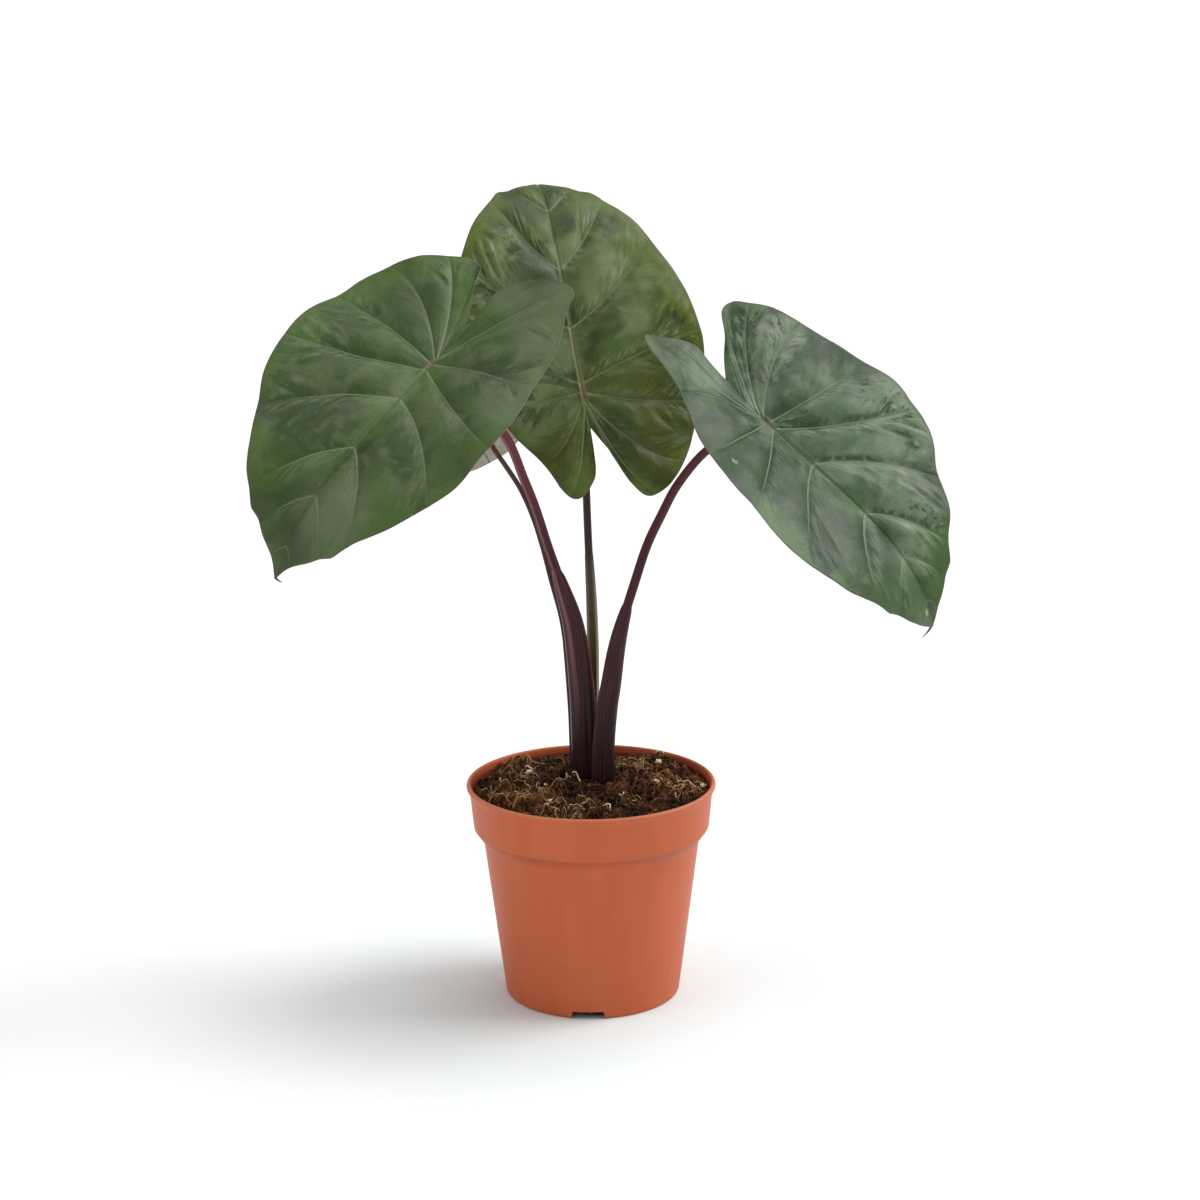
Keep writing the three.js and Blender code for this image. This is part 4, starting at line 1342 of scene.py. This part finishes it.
def soilRings():
    # up the pot's inner wall, then circles that close in over the top
    angle = fullTurn(soil["sides"])[None]
    levels = np.array(soil["levels"], float)[:, None]
    wall = innerRadius(levels) - soil["gap"]
    side = np.stack([wall * np.sin(angle), -wall * np.cos(angle), levels + 0 * angle], -1)
    edge = innerRadius(soil["edgeHeight"]) - soil["gap"]
    radius = (edge * np.linspace(1, 0.004, soil["rings"]))[:, None]
    x, y = radius * np.sin(angle), -radius * np.cos(angle)
    rings = np.concatenate([side, np.stack([x, y, soilTop(x, y)], -1)])[None]
    return rings, {"lump": soilClods(rings[..., 0], rings[..., 1])}


def soilMaterial(name):
    # the dips between the clods get painted shade, darker than their tops, and damp patches are darker
    # too
    paint = Paint(name)
    place = paint.place()
    lumps = paint.clouds(place, 160.0, 4.0, 0.65)
    crumbs = paint.clouds(place, 700.0, 4.0, 0.7)
    damp = paint.clouds(place, 45.0, 2.0)
    threads = paint.cells(paint.stretch(place, (1.0, 1.0, 0.5)), 520.0, "DISTANCE_TO_EDGE")
    # high is low in the dips between the clods, where the dark colour is painted shade
    high = paint.attribute("lump") + 3.0 * (lumps - 0.5)
    colour = paint.over(
        tint(*soil["dark"]),
        (paint.ramp(high, -0.8, 0.9), soil["brown"]),
        (0.55 * paint.ramp(crumbs, 0.55, 0.75), soil["ochre"]),
        (0.45 * paint.ramp(threads, 0.08, 0.01), soil["fibre"]),
        (0.8 * paint.ramp(damp, 0.5, 0.62), soil["dark"]),
    )
    return paint.set({
        "Base Color": colour,
        "Roughness": 0.96 - 0.1 * damp,
        "Normal": paint.relief(lumps + 0.5 * crumbs, 0.0015, 1.0),
        "Specular IOR Level": 0.15,
    })


earth = soilMaterial("earth")
soilPiece = makePiece("soilBed", *soilRings())
finishPiece(soilPiece, earth, "soil", "soil")


# what lies in the soil

# A fibre's bend is how far it turns over its length, in radians, its lift is how high its middle may
# arch, raise is how far it lies above the ground, and its tone goes from 0, dark, to 1, pale. A
# tangle is [x, y, its radius, threads in it]. A lump is sunk by a share of its size.
litter = {
    "reach": 54,
    "seed": 5,
    "crumbs": 1900,
    "crumbSize": [0.4, 1.7],
    "crumbForm": {"sunk": 0.35, "rings": 4, "sides": 6, "roughness": 0.6},
    "fibreSides": 3,
    "fibreSteps": 8,  # points along a fibre
    "fibres": {"length": [3, 13], "radius": [0.12, 0.34], "bend": 2, "lift": 2.5, "tone": [0, 0.75],
               "count": 1900},
    "curls": {"length": [7, 18], "radius": [0.4, 0.8], "bend": 4.5, "lift": 2, "tone": [0, 0.3],
              "count": 170},
    "threads": {"length": [6, 18], "radius": [0.14, 0.3], "bend": 1.8, "lift": 5, "tone": [0.4, 0.98]},
    "tangles": [[-34, -8, 17, 260], [-38, 24, 12, 80], [20, 30, 9, 200], [44, -4, 9, 80],
                [-12, -34, 16, 120], [34, 12, 8, 60]],
    "roots": {"length": [5, 10], "radius": [0.38, 0.5], "bend": 2.6, "lift": 2, "tone": [0.95, 1],
              "raise": 2.2},
    "rootsAt": [[-9, 6], [-12, 10], [-6, 2], [-15, 4], [-3, -28], [15, -14], [9, -34], [-30, 20],
                [-44, 6], [40, -16], [34, 34]],
    "grains": 9,
    "grainSize": [0.6, 1],
    "bigGrains": [[33, 28], [31, 6], [50, 16], [54, 6], [-30, 14], [-21, -24], [-19, -18], [-3, 12]],
    "bigGrainSize": [1.4, 1.9],
    "grainForm": {"sunk": 0, "rings": 6, "sides": 9, "roughness": 0.45},
    "tones": [(48, 22, 12), (128, 77, 44), (206, 158, 100), (244, 226, 192)],  # dark to pale
    "speckle": (60, 36, 20),
    "perlite": (252, 234, 196),
    "dirt": (196, 158, 108),
}


def between(random, limits, count, power=1):
    # the higher the power, the more of the numbers lie near the low limit
    low, high = limits
    return low + (high - low) * random.random(count) ** power


def scatter(random, count, reach):
    turn, radius = 2 * np.pi * random.random(count), reach * np.sqrt(random.random(count))
    return radius * np.cos(turn), radius * np.sin(turn)


def lumpShells(random, x, y, size, form):
    # every lump is a ball of a few rings with uneven radius, stretched and turned at random
    count, rings, sides = len(x), form["rings"], form["sides"]
    level = np.linspace(-0.82, 0.82, rings)[None, :, None]
    turn = fullTurn(sides)[None, None] + 6 * random.random((count, 1, 1))
    uneven = form["roughness"] * (random.random((count, rings, sides)) - 0.5)
    radius = size[:, None, None] * (1 + uneven)
    width = radius * np.sqrt(1 - level**2)
    ball = np.stack([
        width * np.cos(turn),
        width * np.sin(turn) * (0.7 + 0.3 * random.random((count, 1, 1))),
        radius * level * (0.6 + 0.4 * random.random((count, 1, 1))),
    ], -1)
    middle = np.stack([x, y, soilTop(x, y) + (0.5 - form["sunk"]) * size], -1)
    return ball + middle[:, None, None]


def fibrePaths(random, x, y, length, look):
    # a fibre passes its own spot halfway, turns as it goes and arches over the soil: its place is
    # the sum of short strides in its changing direction
    count, steps = len(x), litter["fibreSteps"]
    heading = 2 * np.pi * random.random(count)[:, None]
    share = np.linspace(-0.5, 0.5, steps)[None]
    angle = heading + random.normal(0, look["bend"], count)[:, None] * share
    angle = angle + 0.5 * np.sin(7 * share + heading * 5)
    stride = length / (steps - 1)
    wayX, wayY = np.cumsum(stride * np.cos(angle), 1), np.cumsum(stride * np.sin(angle), 1)
    pathX = x[:, None] + wayX - wayX[:, steps // 2:][:, :1]
    pathY = y[:, None] + wayY - wayY[:, steps // 2:][:, :1]
    shrink = np.minimum(1, (litter["reach"] + 1.2) / np.maximum(np.hypot(pathX, pathY), 1))
    pathX, pathY = pathX * shrink, pathY * shrink
    arch = look["lift"] * random.random(count)[:, None] ** 2 * (1 - 4 * share**2)
    tilt = random.normal(0, 0.16, count)[:, None] * share * length
    ground = soilBase(pathX, pathY) + 0.7 * soil["clods"] * soilClods(pathX, pathY)
    height = ground + arch + np.maximum(tilt, -0.6) + look.get("raise", 0)
    return np.stack([pathX, pathY, height], -1), share


def fibreShells(random, x, y, look):
    # short fibres are the most common, and so are thin ones; each tapers towards both ends
    length = between(random, look["length"], len(x), 2)[:, None]
    path, share = fibrePaths(random, x, y, length, look)
    radius = between(random, look["radius"], len(x), 2)[:, None]
    taper = radius * (1 - 0.6 * (2 * share) ** 4)
    return tubeRings(path, taper, litter["fibreSides"], [0, 0, 1])


def fibreMaterial():
    paint = Paint("coirFibre")
    tone = paint.attribute("tone")
    place = paint.place()
    grain = paint.clouds(place, 900.0, 2.0)
    damp = paint.clouds(place, 45.0, 2.0)
    darkest, brown, golden, palest = litter["tones"]
    colour = paint.over(
        tint(*darkest),
        (paint.ramp(tone, 0.0, 0.5), brown),
        (paint.ramp(tone, 0.5, 0.8), golden),
        (paint.ramp(tone, 0.8, 1.0), palest),
        (0.4 * paint.ramp(grain, 0.5, 0.7), litter["speckle"]),
        (0.55 * paint.ramp(damp, 0.5, 0.62), soil["dark"]),
    )
    return paint.set({
        "Base Color": colour,
        "Roughness": 0.72 + 0.15 * grain,
        "Specular IOR Level": 0.3,
    })


def perliteMaterial():
    paint = Paint("perlite")
    place = paint.place()
    dirt = paint.clouds(place, 420.0, 3.0, 0.7)
    pits = paint.cells(place, 1500.0)
    colour = paint.over(tint(*litter["perlite"]), (paint.ramp(dirt, 0.5, 0.75), litter["dirt"]))
    return paint.set({
        "Base Color": colour,
        "Roughness": 0.85 + 0.1 * dirt,
        "Normal": paint.relief(pits, 0.0003, 0.8),
        "Specular IOR Level": 0.3,
    })


def makeCrumbs(random):
    x, y = scatter(random, litter["crumbs"], litter["reach"])
    size = between(random, litter["crumbSize"], len(x), 3)
    crumbs = lumpShells(random, x, y, size, litter["crumbForm"])
    lump = between(random, [-1.0, 1.2], len(x))[:, None, None] + np.zeros(crumbs.shape[:3])
    finishPiece(makePiece("soilCrumbs", crumbs, {"lump": lump}), earth, "soil")


def makeFibres(random):
    # brown fibres and thicker dark curls all over, golden threads in tangles, and a few pale roots
    groups = []
    for look in (litter["fibres"], litter["curls"]):
        x, y = scatter(random, look["count"], litter["reach"] - 1)
        groups.append((x, y, look))
    for centreX, centreY, reach, count in litter["tangles"]:
        x, y = scatter(random, count, reach)
        groups.append((x + centreX, y + centreY, litter["threads"]))
    x, y = np.array(litter["rootsAt"], float).T
    groups.append((x, y, litter["roots"]))
    shells = [fibreShells(random, x, y, look) for x, y, look in groups]
    tones = [between(random, look["tone"], len(x), 1.5) for x, _, look in groups]
    fibres = np.concatenate(shells)
    tone = np.concatenate(tones)[:, None, None] + np.zeros(fibres.shape[:3])
    finishPiece(makePiece("soilFibres", fibres, {"tone": tone}), fibreMaterial(), "soil")


def makeGrains(random):
    x, y = scatter(random, litter["grains"], litter["reach"] - 2)
    bigX, bigY = np.array(litter["bigGrains"], float).T
    size = between(random, litter["grainSize"], len(x))
    bigSize = between(random, litter["bigGrainSize"], len(bigX))
    x, y, size = (np.concatenate(pair) for pair in ((x, bigX), (y, bigY), (size, bigSize)))
    grains = lumpShells(random, x, y, size, litter["grainForm"])
    finishPiece(makePiece("perliteGrains", grains), perliteMaterial(), "soil")


litterRandom = np.random.default_rng(litter["seed"])
makeCrumbs(litterRandom)
makeFibres(litterRandom)
makeGrains(litterRandom)


# the corm, inside the soil

corm = {"light": (112, 78, 52), "dark": (74, 48, 32), "paper": (168, 138, 106)}


def cormMaterial():
    paint = Paint("cormSkin")
    place = paint.place()
    rings = paint.clouds(paint.stretch(place, (60.0, 60.0, 900.0)), 1.0, 3.0)
    patches = paint.clouds(place, 180.0, 3.0, 0.6)
    colour = paint.over(
        tint(*corm["light"]),
        (paint.ramp(rings, 0.35, 0.65), corm["dark"]),
        (0.5 * paint.ramp(patches, 0.5, 0.7), corm["paper"]),
    )
    return paint.set({
        "Base Color": colour,
        "Roughness": 0.8 + 0.1 * patches,
        "Normal": paint.relief(rings + patches, 0.0006, 0.8),
    })


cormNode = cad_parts["corm"]
cormNode.data.materials.clear()
cormNode.data.materials.append(cormMaterial())


# floor, light and camera

# Lengths here are in metres and angles in degrees, apart from the lens, which is in millimetres.
studio = {
    "floorReach": [14, 30],  # flat as far as the first, and rising from there to the second
    "floorRise": 5,
    "floorRings": 9,
    "floorSides": 96,
    "shadeReach": [0.22, 0.07],  # floorByPot fades in between them
    "floor": (0.95, 0.95, 0.95),
    "floorByPot": (0.87, 0.943, 0.95),  # evens out the red light that the pot throws on the floor
    "sky": 0.38,
    # sun lamps: strength, angle above the floor, angle round to the right from the viewer, and width
    "lamps": {
        "softKey": [1.75, 42, 98, 34],
        "softTop": [1.25, 73, 122, 60],
        "softFill": [0.35, 35, -70, 50],
    },
    "lens": 85,
    "sensor": 36,
    "camera": (0.005, -1.3, 0.523),
    "pitch": 14.16,
    "roll": -0.46,
}


def makeFloor():
    # level circles round the middle; far away the floor rises as the square of the distance, so
    # that the ground is behind the plant from every side
    flat, end = studio["floorReach"]
    radius = np.linspace(flat, end, studio["floorRings"])
    height = studio["floorRise"] * ((radius - flat) / (end - flat)) ** 2
    rings = turnedRings(np.column_stack([radius, height]), studio["floorSides"])
    quads, fans = shellFaces(1, *rings.shape[:2])
    middleFan = fans[:studio["floorSides"]]
    points = np.vstack([rings.reshape(-1, 3), [0, 0, 0]])
    faces = quads[:, ::-1].tolist() + middleFan[:, ::-1].tolist()
    floor = addObject("floor", smoothMesh("floor", points, faces))
    paint = Paint("floorPaper")
    byPot = paint.ramp(paint.reach(paint.place()), *studio["shadeReach"])
    colour = paint.blend(byPot, studio["floor"], studio["floorByPot"])
    paper = paint.set({"Base Color": colour, "Roughness": 0.9, "Specular IOR Level": 0.0})
    floor.data.materials.append(paper)


def makeLight():
    world = bpy.data.worlds.new("studio")
    bpy.context.scene.world = world
    world.use_nodes = True
    background = world.node_tree.nodes["Background"]
    background.inputs["Color"].default_value = (1, 1, 1, 1)
    background.inputs["Strength"].default_value = studio["sky"]
    for name, (strength, elevation, azimuth, width) in studio["lamps"].items():
        lamp = bpy.data.lights.new(name, "SUN")
        lamp.energy = strength
        lamp.angle = math.radians(width)
        holder = addObject(name, lamp)
        down = Matrix.Rotation(math.radians(90 - elevation), 3, "X")
        turn = Matrix.Rotation(math.radians(azimuth), 3, "Z")
        holder.rotation_euler = (turn @ down).to_euler()


def makeCamera():
    lens = bpy.data.cameras.new("camera")
    lens.lens = studio["lens"]
    lens.sensor_width = studio["sensor"]
    camera = addObject("camera", lens)
    camera.location = studio["camera"]
    look = Matrix.Rotation(math.radians(90 - studio["pitch"]), 3, "X")
    roll = Matrix.Rotation(math.radians(studio["roll"]), 3, "Z")
    camera.rotation_euler = (look @ roll).to_euler()
    bpy.context.scene.camera = camera


makeFloor()
makeLight()
makeCamera()
bpy.context.scene.view_settings.view_transform = "Standard"
print("floor, light and camera are in place")
